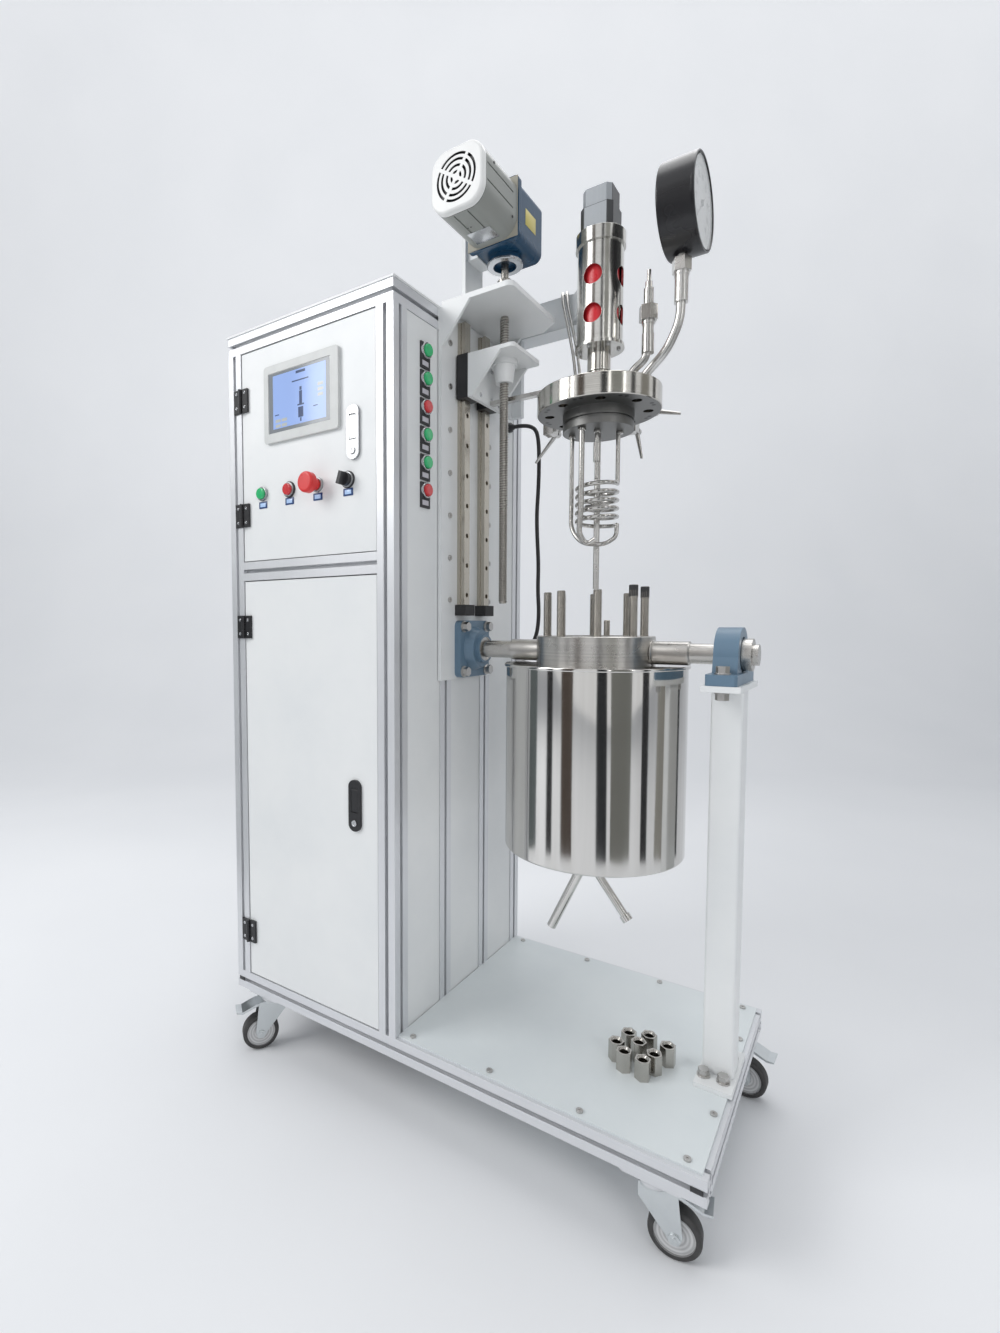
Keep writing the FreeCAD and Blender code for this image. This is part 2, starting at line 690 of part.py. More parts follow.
def collar(x, z, bore):
    """Ring that clamps a control in the door."""
    ring = rod((x, door_face, z), -Y_AXIS, COLLAR_RADIUS, COLLAR_PROUD)
    edge = [e for e in ring.Edges if e.BoundBox.YMax < door_face - COLLAR_PROUD + 0.1]
    ring = ring.makeFillet(1.5, edge[:1])
    return ring.cut(rod((x, door_face + 1, z), -Y_AXIS, bore, COLLAR_PROUD + 2))


def push_button(x, z):
    """Domed lens that slides in its collar."""
    start = door_face - BUTTON_PROUD
    lens = rod((x, start, z), Y_AXIS, BUTTON_RADIUS, BUTTON_PROUD - BUTTON_TRAVEL - 1)
    front = [e for e in lens.Edges if e.BoundBox.YMax < start + 0.1]
    return lens.makeFillet(2.5, front[:1])


def stop_button(x, z):
    """Mushroom head on a short stem."""
    start = door_face - ESTOP_PROUD
    head = rod((x, start, z), Y_AXIS, ESTOP_HEAD_RADIUS, ESTOP_HEAD_HEIGHT)
    front = [e for e in head.Edges if e.BoundBox.YMax < start + 0.1]
    head = head.makeFillet(5, front[:1])
    stem = rod((x, start + ESTOP_HEAD_HEIGHT - 1, z), Y_AXIS, ESTOP_STEM_RADIUS,
               ESTOP_PROUD - ESTOP_HEAD_HEIGHT - ESTOP_TRAVEL)
    return fused(head, stem)


def selector_knob(x, z):
    """Round knob with a raised grip bar and a stem in the collar."""
    start = door_face - COLLAR_PROUD - SWIVEL_GAP
    body = rod((x, start, z), -Y_AXIS, KNOB_RADIUS, 8)
    grip = centred(x, start - 13, z, 8, 16, KNOB_LENGTH - 4)
    stem = rod((x, start - 1, z), Y_AXIS, KNOB_STEM, COLLAR_PROUD)
    return fused(body, turned(grip, 20, (x, start, z), Y_AXIS), stem)


def operator_screen():
    """Touch screen set on the door: a bezel with rounded corners and a sunk window."""
    w, h = SCREEN_SIZE
    x = door_middle + SCREEN_PLACE[0]
    z = mid_rail_top + SCREEN_PLACE[1]
    bezel = centred(x, door_face - SCREEN_PROUD / 2, z, w, SCREEN_PROUD, h)
    bezel = bezel.makeFillet(7, [e for e in bezel.Edges if e.BoundBox.YLength > 1])
    window = centred(x - 4, door_face - SCREEN_PROUD, z + 1, SCREEN_WINDOW[0], 2.4, SCREEN_WINDOW[1])
    return bezel.cut(window)


strip_middle = -(half_depth - PROFILE / 2 + SIDE_POST_OFFSET) / 2
side_button_y = strip_middle + SIDE_BUTTON_SHIFT


def side_plate(z):
    """Black label plate with a bored head for the button and a window for its label."""
    w, h, proud = SIDE_PLATE
    plate = block((panel_face, panel_face + proud), (side_button_y - w / 2, side_button_y + w / 2),
                  (z - h + w / 2, z + w / 2))
    head = rod((panel_face, side_button_y, z), X_AXIS, w / 2 - 0.5, proud + SIDE_HEAD)
    bore = rod((panel_face + 1, side_button_y, z), X_AXIS, BUTTON_RADIUS + CONTROL_GAP, proud + SIDE_HEAD)
    label = centred(panel_face + proud, side_button_y, z - w / 2 - 8, 1.2, w - 8, 10)
    return fused(plate, head).cut([bore, label])


def side_button(z):
    x = panel_face + 1 + BUTTON_TRAVEL + SWIVEL_GAP
    lens = rod((x, side_button_y, z), X_AXIS, BUTTON_RADIUS, 9)
    front = [e for e in lens.Edges if e.BoundBox.XMin > x + 8]
    return lens.makeFillet(2.5, front[:1])


side_button_heights = [
    cabinet_top - SIDE_BUTTON_DROP - SIDE_BUTTON_PITCH * k for k in range(SIDE_BUTTON_COUNT)
]

# Lift

lift_half = LIFT_PLATE_WIDTH / 2
rail_bottom = carriage_bottom - LIFT_TRAVEL - 2
rail_top = cabinet_top - 10


def lift_plate():
    return block((cabinet_side, lift_face), (-lift_half, lift_half),
                 (TRUNNION_HEIGHT - LIFT_PLATE_DROP, cabinet_top))


def guide_rails():
    """Two hardened rails, waisted at their sides, with counterbored screw holes."""
    solids = []
    for side in (-1, 1):
        y = side * RAIL_SPACING / 2
        rail = block((lift_face, lift_face + RAIL_HEIGHT), (y - RAIL_WIDTH / 2, y + RAIL_WIDTH / 2),
                     (rail_bottom - STOP_HEIGHT, rail_top))
        waists = [
            centred(lift_face + 9, y + s * RAIL_WIDTH / 2, rail_top / 2, 4, 4, 2 * rail_top)
            for s in (-1, 1)
        ]
        count = int((rail_top - rail_bottom - 30) // RAIL_HOLE_PITCH) + 1
        holes = [
            rod((lift_face + RAIL_HEIGHT - 8, y, rail_bottom + 20 + RAIL_HOLE_PITCH * k), X_AXIS, 4.7, 10)
            for k in range(count)
        ]
        solids.append(rail.cut(waists + holes))
    return solids


def rail_stops():
    """Black rubber stops clamped over the lower ends of the rails."""
    solids = []
    for side in (-1, 1):
        y = side * RAIL_SPACING / 2
        body = block((lift_face, lift_face + RAIL_HEIGHT + 8), (y - 18, y + 18),
                     (rail_bottom - STOP_HEIGHT, rail_bottom))
        slot = block((lift_face - 1, lift_face + RAIL_HEIGHT), (y - RAIL_WIDTH / 2, y + RAIL_WIDTH / 2),
                     (rail_bottom - STOP_HEIGHT - 1, rail_bottom + 1))
        solids.append(body.cut(slot))
    return solids


def guide_blocks():
    """Black bearing blocks that run on the rails."""
    solids = []
    low = lift_face + BLOCK_GAP
    for side in (-1, 1):
        y = side * RAIL_SPACING / 2
        body = block((low, carriage_face), (y - BLOCK_SIZE[1] / 2 + 2, y + BLOCK_SIZE[1] / 2 - 2),
                     (carriage_bottom, carriage_top))
        channel = block((low - 1, lift_face + RAIL_HEIGHT + BLOCK_CLEARANCE),
                        (y - RAIL_WIDTH / 2 - BLOCK_CLEARANCE, y + RAIL_WIDTH / 2 + BLOCK_CLEARANCE),
                        (carriage_bottom - 1, carriage_top + 1))
        solids.append(body.cut(channel))
    return solids


def carriage_bracket():
    """White welded bracket: back plate, shelf with the lead nut under it, and two gussets."""
    x0 = carriage_face
    half = BRACKET_WIDTH / 2
    back = block((x0, x0 + BRACKET_SHEET), (-half, half), (carriage_bottom, carriage_top))
    shelf = block((x0, x0 + BRACKET_REACH), (-half, half), (carriage_top - BRACKET_SHEET, carriage_top))
    shelf = fillet_upright(shelf, 8, lambda x, y: x > x0 + 50)
    gussets = [
        polygon([(x0, y, carriage_bottom), (x0 + BRACKET_SHEET, y, carriage_bottom),
                 (x0 + BRACKET_REACH - 22, y, carriage_top), (x0, y, carriage_top)],
                V(0, GUSSET_SHEET, 0))
        for y in (-half, half - GUSSET_SHEET)
    ]
    under = carriage_top - BRACKET_SHEET
    nut = fused(
        upright(screw_x, 0, under - 10, under, NUT_RADIUS + 9),
        cone((screw_x, 0, under - NUT_HEIGHT), Z_AXIS, NUT_RADIUS, NUT_RADIUS + 5, NUT_HEIGHT - 10),
    )
    bore = upright(screw_x, 0, carriage_bottom - 20, carriage_top + 1, SCREW_RADIUS + SCREW_GAP)
    return fused(back, shelf, nut, *gussets).cut(bore)


boom_front = lift_half + BOOM_CLEARANCE
boom_bottom = lid_top + BOOM_RISE
boom_top = boom_bottom + BOOM_SIZE[1]
drive_bottom = lid_top + NECK_HEIGHT
drive_top = drive_bottom + DRIVE_HEIGHT


def lift_boom():
    """Light grey beam that carries the lid: riser, rounded box beam and a saddle."""
    depth = BOOM_SIZE[0]
    x0 = carriage_face
    end = vessel_x - BOOM_END_GAP
    y = (boom_front, boom_front + depth)
    beam = block((x0, end), y, (boom_bottom, boom_top))
    nose = [
        e for e in beam.Edges
        if e.BoundBox.YLength > depth - 1 and e.BoundBox.XMin > end - 1 and e.BoundBox.ZMin > boom_top - 1
    ]
    beam = beam.makeFillet(BOOM_CORNER, nose)
    riser = block((x0, x0 + 30), (boom_front, boom_front + 14), (carriage_bottom, boom_top - 4))
    half = BRACKET_WIDTH / 2
    link = block((x0, x0 + BRACKET_SHEET), (half, boom_front + 14), (carriage_bottom, carriage_top))
    saddle = polygon(
        [(end - 26, boom_front + 4, boom_bottom + 8), (end - 4, boom_front + depth - 6, boom_bottom + 8),
         (vessel_x + 20, DRIVE_RADIUS - 2, boom_bottom + 8), (vessel_x - 26, DRIVE_RADIUS - 14, boom_bottom + 8)],
        V(0, 0, BOOM_SIZE[1] - 16),
    )
    drum = upright(vessel_x, 0, boom_bottom, boom_top, DRIVE_RADIUS)
    return fused(beam, riser, link, saddle).cut(drum)


def lid_arm():
    """Slim bar from the carriage with a foot that steadies the lid."""
    depth, height = ARM_SIZE
    x0 = carriage_face + BRACKET_SHEET
    y0 = SCREW_RADIUS + 6
    z = lid_top + ARM_LIFT
    foot_x = vessel_x - LID_RADIUS + 13
    bar = block((x0, foot_x + 6), (y0, y0 + depth), (z, z + height))
    foot = block((foot_x - 7, foot_x + 7), (y0 - 3, y0 + depth + 3), (lid_top, z + height + 3))
    return fused(bar, foot)


ring_low = plate_top + GEARBOX_GAP
gearbox_low = ring_low + GEARBOX_RING
gearbox_mid_x = screw_x + 4
gearbox_mid_z = gearbox_low + GEARBOX_SIZE[2] / 2
journal_radius = SCREW_RADIUS - 1.5


def lead_screw():
    """Trapezoidal screw with the sleeve that couples it to the gearbox shaft."""
    low = carriage_top - BRACKET_SHEET - NUT_HEIGHT - LIFT_TRAVEL - SCREW_TAIL
    shoulder = cabinet_top - RAIL_GAP
    thread = upright(screw_x, 0, low, shoulder, SCREW_RADIUS)
    journal = upright(screw_x, 0, shoulder, gearbox_low + JOURNAL_DEPTH, journal_radius)
    radius, length = SCREW_SLEEVE
    sleeve_low = plate_top + SLEEVE_RISE
    sleeve = upright(screw_x, 0, sleeve_low, sleeve_low + length, radius)
    return fused(thread, journal, sleeve)


def motor_plate():
    """Top plate of the lift with its gussets and the upright that holds the gearbox."""
    outer = cabinet_side + MOTOR_PLATE_REACH
    cut = MOTOR_PLATE_CHAMFER
    plate = polygon(
        [(lift_face, -lift_half, cabinet_top), (outer, -lift_half, cabinet_top),
         (outer, lift_half - cut + 4, cabinet_top), (outer - cut - 4, lift_half, cabinet_top),
         (lift_face, lift_half, cabinet_top)],
        V(0, 0, MOTOR_PLATE_THICKNESS),
    )
    plate = fillet_upright(plate, MOTOR_PLATE_CORNER, lambda x, y: x > outer - 1 and y < 0)
    gussets = [
        polygon([(lift_face, y, cabinet_top), (lift_face + GUSSET_SIZE, y, cabinet_top),
                 (lift_face, y, cabinet_top - GUSSET_SIZE - 12)], V(0, GUSSET_SHEET, 0))
        for y in (-lift_half, lift_half - GUSSET_SHEET)
    ]
    box_back = gearbox_mid_x - GEARBOX_SIZE[0] / 2
    wall_top = gearbox_low + GEARBOX_SIZE[2] - 10
    wall = block((lift_face, lift_face + 8), (-34, 34), (plate_top, wall_top))
    spacer = block((lift_face + 8, box_back), (-26, 26), (gearbox_low + 8, wall_top - 8))
    bore = upright(screw_x, 0, cabinet_top - 5, plate_top + 5, journal_radius + RUNNING_FIT)
    return fused(plate, wall, spacer, *gussets).cut(bore)


def gearbox():
    """Blue right-angle gearbox with its motor flange, round cover and output ring."""
    sx, sy, sz = GEARBOX_SIZE
    x = gearbox_mid_x
    z = gearbox_mid_z
    body = centred(x, 0, z, sx, sy, sz)
    body = body.makeFillet(16, [e for e in body.Edges if e.BoundBox.YLength > sy - 1])
    side = MOTOR_SIZE + 6
    flange = centred(x, -sy / 2 - FLANGE_SHEET / 2 + 1, z, side, FLANGE_SHEET, side)
    flange = flange.makeFillet(10, [e for e in flange.Edges if e.BoundBox.YLength > FLANGE_SHEET - 1])
    cover = rod((x, sy / 2, z), Y_AXIS, 45, 8)
    ring = upright(screw_x, 0, ring_low, gearbox_low + 1, 33)
    bore = upright(screw_x, 0, ring_low - 1, gearbox_low + JOURNAL_DEPTH + 2, journal_radius + RUNNING_FIT)
    mouth = upright(screw_x, 0, ring_low - 1, ring_low + 8, 22)
    return fused(body, flange, cover, ring).cut([bore, mouth])


def gear_motor():
    """Light grey motor that lies along Y, with a grooved barrel and a vented end."""
    x = gearbox_mid_x
    z = gearbox_mid_z
    front = -GEARBOX_SIZE[1] / 2 - FLANGE_SHEET + 1
    end_y = front - MOTOR_LENGTH
    body = centred(x, front - MOTOR_LENGTH / 2, z, MOTOR_SIZE, MOTOR_LENGTH, MOTOR_SIZE)
    body = body.makeFillet(32, [e for e in body.Edges if e.BoundBox.YLength > MOTOR_LENGTH - 1])
    rim = [e for e in body.Edges if e.BoundBox.YMax < end_y + 0.1]
    body = body.makeFillet(5, rim)
    vents = []
    for radius in (9, 19, 29, 38):
        ring = rod((x, end_y - 1, z), Y_AXIS, radius + 2.2, 6)
        ring = ring.cut(rod((x, end_y - 2, z), Y_AXIS, radius - 2.2, 8))
        bars = [
            turned(centred(x, end_y, z, 6, 14, 90), angle, (x, end_y, z), Y_AXIS)
            for angle in (35, 125)
        ]
        vents += ring.cut(bars).Solids
    grooves = [
        turned(centred(x + s * 14, front - MOTOR_LENGTH / 2, z + MOTOR_SIZE / 2, 3, MOTOR_LENGTH - 34, 4),
               90 * k, (x, 0, z), Y_AXIS)
        for k in range(4) for s in (-1, 1)
    ]
    return body.cut(vents + grooves)


# Vessel


def stud_place(k):
    angle = math.radians(360 / STUD_COUNT * (k + 0.5))
    return vessel_x + STUD_CIRCLE * math.cos(angle), STUD_CIRCLE * math.sin(angle)


left_shaft_end = lift_face + 4
right_shaft_end = post_x + PILLOW_WIDTH / 2 + 24


def trunnions():
    """A boss welded to the flange ring with the shaft it holds, on each side."""
    ring = upright(vessel_x, 0, jacket_top, ring_top, RING_RADIUS)
    pair = []
    for side, end in ((-1, left_shaft_end), (1, right_shaft_end)):
        start = vessel_x + side * (RING_RADIUS - 6)
        tip = vessel_x + side * BOSS_REACH
        boss = rod((start, 0, TRUNNION_HEIGHT), V(side, 0, 0), BOSS_RADIUS, abs(tip - start))
        shaft = rod((tip, 0, TRUNNION_HEIGHT), V(side, 0, 0), SHAFT_RADIUS, abs(end - tip))
        pair.append(fused(boss, shaft).cut(ring))
    return pair


bore_low = ring_top - VESSEL_DEPTH
cup_low = bore_low - VESSEL_FLOOR
stud_low = ring_top - 26


def vessel():
    """Flange ring, tube and dished floor, welded end to end, with the two trunnions."""
    ring = upright(vessel_x, 0, jacket_top, ring_top, RING_RADIUS)
    rim = [e for e in ring.Edges if e.Length > 600 and e.BoundBox.ZMin > ring_top - 1]
    ring = ring.makeChamfer(1.5, rim)
    outer = VESSEL_BORE + VESSEL_WALL
    seam = bore_low + FLOOR_CORNER
    tube = upright(vessel_x, 0, seam, jacket_top, outer)
    floor = upright(vessel_x, 0, cup_low, seam, outer)
    bore = upright(vessel_x, 0, bore_low, ring_top + 1, VESSEL_BORE)
    bottom = [e for e in bore.Edges if e.BoundBox.ZMax < bore_low + 0.1]
    bore = bore.makeFillet(FLOOR_CORNER, bottom[:1])
    drilled = upright(vessel_x, 0, cup_low - 1, seam, DRAIN_BORE)
    sockets = [upright(*stud_place(k), stud_low, ring_top + 1, STUD_RADIUS) for k in range(STUD_COUNT)]
    return [ring.cut([bore] + sockets), tube.cut(bore), floor.cut([bore, drilled])] + trunnions()


def shaft_collar():
    """Locking collar on the free end of the right shaft."""
    x0 = post_x + PILLOW_WIDTH / 2 + SWIVEL_GAP
    ring = rod((x0, 0, TRUNNION_HEIGHT), X_AXIS, 27, 15)
    return ring.cut(rod((x0 - 1, 0, TRUNNION_HEIGHT), X_AXIS, SHAFT_RADIUS, 20))


def guide_pin(low, radius, high):
    """The lid's guide pin, or the blind hole for it, behind the bore."""
    x, y = GUIDE_PLACE
    return upright(vessel_x + x, y, low, high, radius)


def studs():
    """Eight studs screwed in the ring, two of them with caps, and the guide pin of the lid."""
    solids = [
        upright(*stud_place(k), stud_low, ring_top + STUD_LENGTH, STUD_RADIUS)
        for k in range(STUD_COUNT)
    ]
    for k in (0, STUD_COUNT - 1):
        x, y = stud_place(k)
        solids[k] = fused(solids[k], upright(x, y, ring_top + STUD_LENGTH - 1, ring_top + STUD_LENGTH + 9,
                                             STUD_RADIUS - 1))
    radius, height = GUIDE_PIN
    pin = guide_pin(ring_top, radius, ring_top + height)
    top = [e for e in pin.Edges if e.BoundBox.ZMin > ring_top + height - 1]
    return solids + [pin.makeChamfer(1.0, top)]


def jacket():
    """Polished shell round the cup: top sheet with its lip, wall, floor pan and drain pipes."""
    outer = upright(vessel_x, 0, jacket_bottom, jacket_top, JACKET_RADIUS)
    foot = [e for e in outer.Edges if e.BoundBox.ZMax < jacket_bottom + 0.1]
    outer = outer.makeFillet(4, foot[:1])
    lip = upright(vessel_x, 0, jacket_top - 5, jacket_top, JACKET_RADIUS + JACKET_LIP)
    lip = lip.makeFillet(2, [e for e in lip.Edges if e.Length > 900])
    inside = upright(vessel_x, 0, jacket_bottom + JACKET_SHEET, jacket_top - JACKET_SHEET,
                     JACKET_RADIUS - JACKET_SHEET)
    mouth = upright(vessel_x, 0, jacket_top - 6, jacket_top + 1, VESSEL_BORE + VESSEL_WALL)
    bore = upright(vessel_x, 0, jacket_bottom - DRAIN_LENGTH + 8, cup_low + 1, DRAIN_BORE)
    pipes, open_bore = drain_pipes()
    drain = fused(*pipes).cut([open_bore, bore])
    ports = [
        upright(x, y, jacket_bottom - GLAND_LENGTH, jacket_bottom + 1, 7) for x, y in heater_ends
    ]
    spout = upright(vessel_x, 0, jacket_bottom - 1, cup_low, DRAIN_RADIUS)
    shell = fused(outer, lip).cut([inside, mouth])
    reach = JACKET_RADIUS + JACKET_LIP + 1
    seams = (jacket_bottom - 1, jacket_bottom + JACKET_SEAM, jacket_top - JACKET_SEAM, jacket_top + 1)
    slices = [
        shell.common(upright(vessel_x, 0, low, high, reach)) for low, high in zip(seams, seams[1:])
    ]
    slices[0] = fused(slices[0], *ports).cut([spout, drain])
    return slices + [drain]


def drain_pipes():
    """Spout under the cup with two branches: one open, one closed with a cap."""
    spout = upright(vessel_x, 0, jacket_bottom - DRAIN_LENGTH, cup_low, DRAIN_RADIUS)
    open_start = V(vessel_x - 4, -2, jacket_bottom - 14)
    open_end = V(vessel_x - 76, -12, jacket_bottom - 174)
    cap_start = V(vessel_x + 2, 0, jacket_bottom - 40)
    cap_end = V(vessel_x + 66, -6, jacket_bottom - 117)
    along = open_end - open_start
    pipe = Part.makeCylinder(PIPE_RADIUS, along.Length, open_start, along)
    mouth = open_end - along * (OUTLET_LENGTH / along.Length)
    bore = Part.makeCylinder(PIPE_RADIUS - 1.5, OUTLET_LENGTH + 1, mouth, along)
    other = cap_end - cap_start
    branch = Part.makeCylinder(PIPE_RADIUS - 1.5, other.Length, cap_start, other)
    cap = Part.makeCylinder(PIPE_RADIUS + 1, 12, cap_end, other)
    return [spout, pipe, branch, cap], bore


# Bearings and post


def flange_bearing():
    """Cast square housing with a raised boss, on the lift plate."""
    z = TRUNNION_HEIGHT
    plate_face = lift_face + FLANGE_PLATE
    plate = centred(lift_face + FLANGE_PLATE / 2, 0, z, FLANGE_PLATE, FLANGE_BEARING, FLANGE_BEARING)
    plate = plate.makeFillet(12, [e for e in plate.Edges if e.BoundBox.XLength > FLANGE_PLATE - 1])
    root, tip, length = FLANGE_BOSS
    boss = cone((plate_face - 1, 0, z), X_AXIS, root, tip, length + 1)
    lip = rod((plate_face + length, 0, z), X_AXIS, *FLANGE_LIP)
    bore = rod((lift_face + 3, 0, z), X_AXIS, SHAFT_RADIUS + RUNNING_FIT, 2 * FLANGE_BEARING)
    sink = rod((bearing_face - 3, 0, z), X_AXIS, INSERT_RADIUS, 10)
    return fused(plate, boss, lip).cut([bore, sink])


cap_top = TRUNNION_HEIGHT - PILLOW_SHAFT_HEIGHT


def pillow_block():
    """Cast housing with a long foot, standing on the post."""
    foot_height = PILLOW_FOOT[2]
    foot = centred(post_x, 0, cap_top + foot_height / 2, *PILLOW_FOOT)
    foot = foot.makeFillet(6, [e for e in foot.Edges if e.BoundBox.ZLength > foot_height - 1])
    wide, narrow = PILLOW_SHOULDER
    low = cap_top + foot_height - 8
    high = TRUNNION_HEIGHT + INSERT_RADIUS / 2
    half = PILLOW_WIDTH / 2
    x0 = post_x - half
    arch = fused(
        rod((x0, 0, TRUNNION_HEIGHT), X_AXIS, PILLOW_SHAFT_HEIGHT - 2, PILLOW_WIDTH),
        polygon([(x0, -wide, low), (x0, wide, low), (x0, narrow, high), (x0, -narrow, high)],
                V(PILLOW_WIDTH, 0, 0)),
    )
    bore = rod((x0 - PILLOW_WIDTH, 0, TRUNNION_HEIGHT), X_AXIS, SHAFT_RADIUS + RUNNING_FIT,
               3 * PILLOW_WIDTH)
    sinks = [
        rod((post_x + side * (half - 3), 0, TRUNNION_HEIGHT), V(side, 0, 0), 30, 5) for side in (-1, 1)
    ]
    insert = rod((x0 + 1, 0, TRUNNION_HEIGHT), X_AXIS, INSERT_RADIUS, PILLOW_WIDTH - 2)
    return fused(foot, arch.cut(sinks), insert).cut(bore)


foot_top = deck_top + FOOT_SIZE[2]
cap_low = cap_top - CAP_SIZE[2]


def support_post():
    """Square tube welded between a cap plate and a foot plate."""
    half = POST_SIDE / 2
    tube = block((post_x - half, post_x + half), (-half, half), (foot_top - 1, cap_low + 1))
    tube = fillet_upright(tube, 5)
    inner = half - POST_WALL
    hollow = block((post_x - inner, post_x + inner), (-inner, inner), (foot_top, cap_low))
    foot = centred(post_x, 0, deck_top + FOOT_SIZE[2] / 2, *FOOT_SIZE)
    cap = centred(post_x, 0, cap_top - CAP_SIZE[2] / 2, *CAP_SIZE)
    return fused(foot, cap, tube).cut(hollow)


def bolt_head(across):
    """Hexagon head on its washer, standing on Z = 0."""
    head = hexagon(0, 0, WASHER, across, across * 0.6)
    return fused(upright(0, 0, 0, WASHER, across * 0.68), head)


def button_head(x, y):
    head = upright(x, y, deck_top, deck_top + 3, 5.5)
    return head.cut(hexagon(x, y, deck_top + 1.4, 3.4, 3))


def fasteners():
    """Bolts of the bearings and the post, and the button heads of deck and lift plate."""
    solids = []
    for x in (-19, 12):
        for y in (-38, 38):
            solids.append(moved(bolt_head(16), post_x + x, y, foot_top))
    for y in (-BLOCK_BOLTS, BLOCK_BOLTS):
        solids.append(moved(bolt_head(18), post_x, y, cap_top + PILLOW_FOOT[2]))
        solids.append(moved(turned(bolt_head(18), 180, (0, 0, 0), X_AXIS), post_x, y, cap_low))
    for y in (-1, 1):
        for z in (-1, 1):
            head = turned(bolt_head(17), 90, (0, 0, 0), Y_AXIS)
            solids.append(moved(head, lift_face + FLANGE_PLATE, y * FLANGE_BOLTS / 2,
                                TRUNNION_HEIGHT + z * FLANGE_BOLTS / 2))
    edge = half_depth - DECK_INSET - 13
    first = cabinet_side + DECK_SCREW_INSET[0]
    step = (half_length - DECK_SCREW_INSET[1] - first) / (DECK_SCREWS - 1)
    for k in range(DECK_SCREWS):
        for y in (-edge, edge):
            solids.append(button_head(first + step * k, y))
    solids += [button_head(half_length - DECK_INSET - 11, y) for y in (-114, 114)]
    count = int((cabinet_top - TRUNNION_HEIGHT - 90) // LIFT_SCREW_PITCH) + 1
    for k in range(count):
        for y in (-SIDE_POST_OFFSET, SIDE_POST_OFFSET):
            z = cabinet_top - 58 - LIFT_SCREW_PITCH * k
            head = rod((lift_face, y, z), X_AXIS, 5.5, 3)
            solids.append(head.cut(rod((lift_face + 1.4, y, z), X_AXIS, 2.2, 3)))
    return solids


def loose_nuts():
    """The eight tall nuts of the studs, standing together on the deck."""
    x0 = half_length - NUT_HEAP[0]
    y0 = NUT_HEAP[1]
    solids = []
    for dx, dy in NUT_PLACES:
        x = x0 + dx
        y = y0 + dy
        nut = turned(hexagon(x, y, deck_top, NUT_ACROSS, NUT_TALL), 7 * dx, (x, y, 0), Z_AXIS)
        thread = upright(x, y, deck_top - 1, deck_top + NUT_TALL + 1, STUD_RADIUS - 0.8)
        chamfer = cone((x, y, deck_top + NUT_TALL - 3), Z_AXIS, STUD_RADIUS - 0.8, STUD_RADIUS + 2.2, 3)
        solids.append(nut.cut([thread, chamfer]))
    return solids


# Lid and drive


def lid():
    """Thick lid with a stepped spigot and stud holes, and the neck that stands on it."""
    disc = lid_disc()
    disc = disc.makeChamfer(1.5, [e for e in disc.Edges if e.Length > 600 and e.BoundBox.ZLength < 1])
    steps = [
        upright(vessel_x, 0, lid_bottom - 16, lid_bottom + 1, SPIGOT_RADIUS),
        upright(vessel_x, 0, lid_bottom - 22, lid_bottom - 15, SPIGOT_RADIUS - 4),
        upright(vessel_x, 0, lid_bottom - SPIGOT_DEPTH, lid_bottom - 21, SPIGOT_RADIUS),
    ]
    neck = upright(vessel_x, 0, lid_top, drive_bottom, NECK_RADIUS)
    upper_neck = upright(vessel_x, 0, lid_top + 38, drive_bottom, NECK_RADIUS + 1.5)
    bore = upright(vessel_x, 0, lid_bottom - SPIGOT_DEPTH - 1, drive_bottom + 1,
                   STIRRER_RADIUS + SHAFT_BORE_GAP)
    holes = [
        upright(*stud_place(k), lid_bottom - 1, lid_top + 1, STUD_RADIUS + STUD_CLEARANCE)
        for k in range(STUD_COUNT)
    ]
    radius, height = GUIDE_PIN
    holes.append(guide_pin(lid_bottom - 1, radius + STUD_CLEARANCE, lid_bottom + height + GUIDE_SPARE))
    return fused(disc, *steps).cut([bore] + holes), fused(neck, upper_neck).cut(bore)


def drive_housing():
    """Polished drum with round windows, standing on the neck, open inside for the rotor."""
    body = upright(vessel_x, 0, drive_bottom, drive_top, DRIVE_RADIUS)
    top_ring = upright(vessel_x, 0, drive_top, drive_top + DRIVE_FLANGE_HEIGHT, DRIVE_FLANGE)
    foot_ring = upright(vessel_x, 0, drive_bottom, drive_bottom + 6, DRIVE_FLANGE)
    inside = upright(vessel_x, 0, drive_bottom + 8, drive_top + 6, DRIVE_RADIUS - DRIVE_WALL)
    shaft_hole = upright(vessel_x, 0, drive_bottom - 1, drive_bottom + 9,
                         STIRRER_RADIUS + SHAFT_BORE_GAP)
    windows = [
        rod((vessel_x, 0, drive_bottom + height), direction, WINDOW_RADIUS, DRIVE_FLANGE + 5)
        for height in WINDOW_HEIGHTS for direction in (V(0, -1, 0), X_AXIS, V(-1, 0, 0))
    ]
    return fused(body, top_ring, foot_ring).cut([inside, shaft_hole] + windows)


def drive_motor():
    """Square motor with chamfered corners and a stepped rear cover."""
    low = drive_top + DRIVE_FLANGE_HEIGHT
    side = DRIVE_MOTOR_SIDE
    body = centred(vessel_x, 0, low + DRIVE_MOTOR_HEIGHT / 2, side, side, DRIVE_MOTOR_HEIGHT)
    body = body.makeChamfer(8, [e for e in body.Edges if e.BoundBox.ZLength > 1])
    inner = side - 2 * DRIVE_COVER_STEP
    cover = centred(vessel_x, 0, low + DRIVE_MOTOR_HEIGHT + DRIVE_COVER_HEIGHT / 2 - 0.5, inner, inner,
                    DRIVE_COVER_HEIGHT + 1)
    cover = cover.makeChamfer(8, [e for e in cover.Edges if e.BoundBox.ZLength > 1])
    return fused(body, cover)


coil_bottom = lid_bottom - COIL_DROP


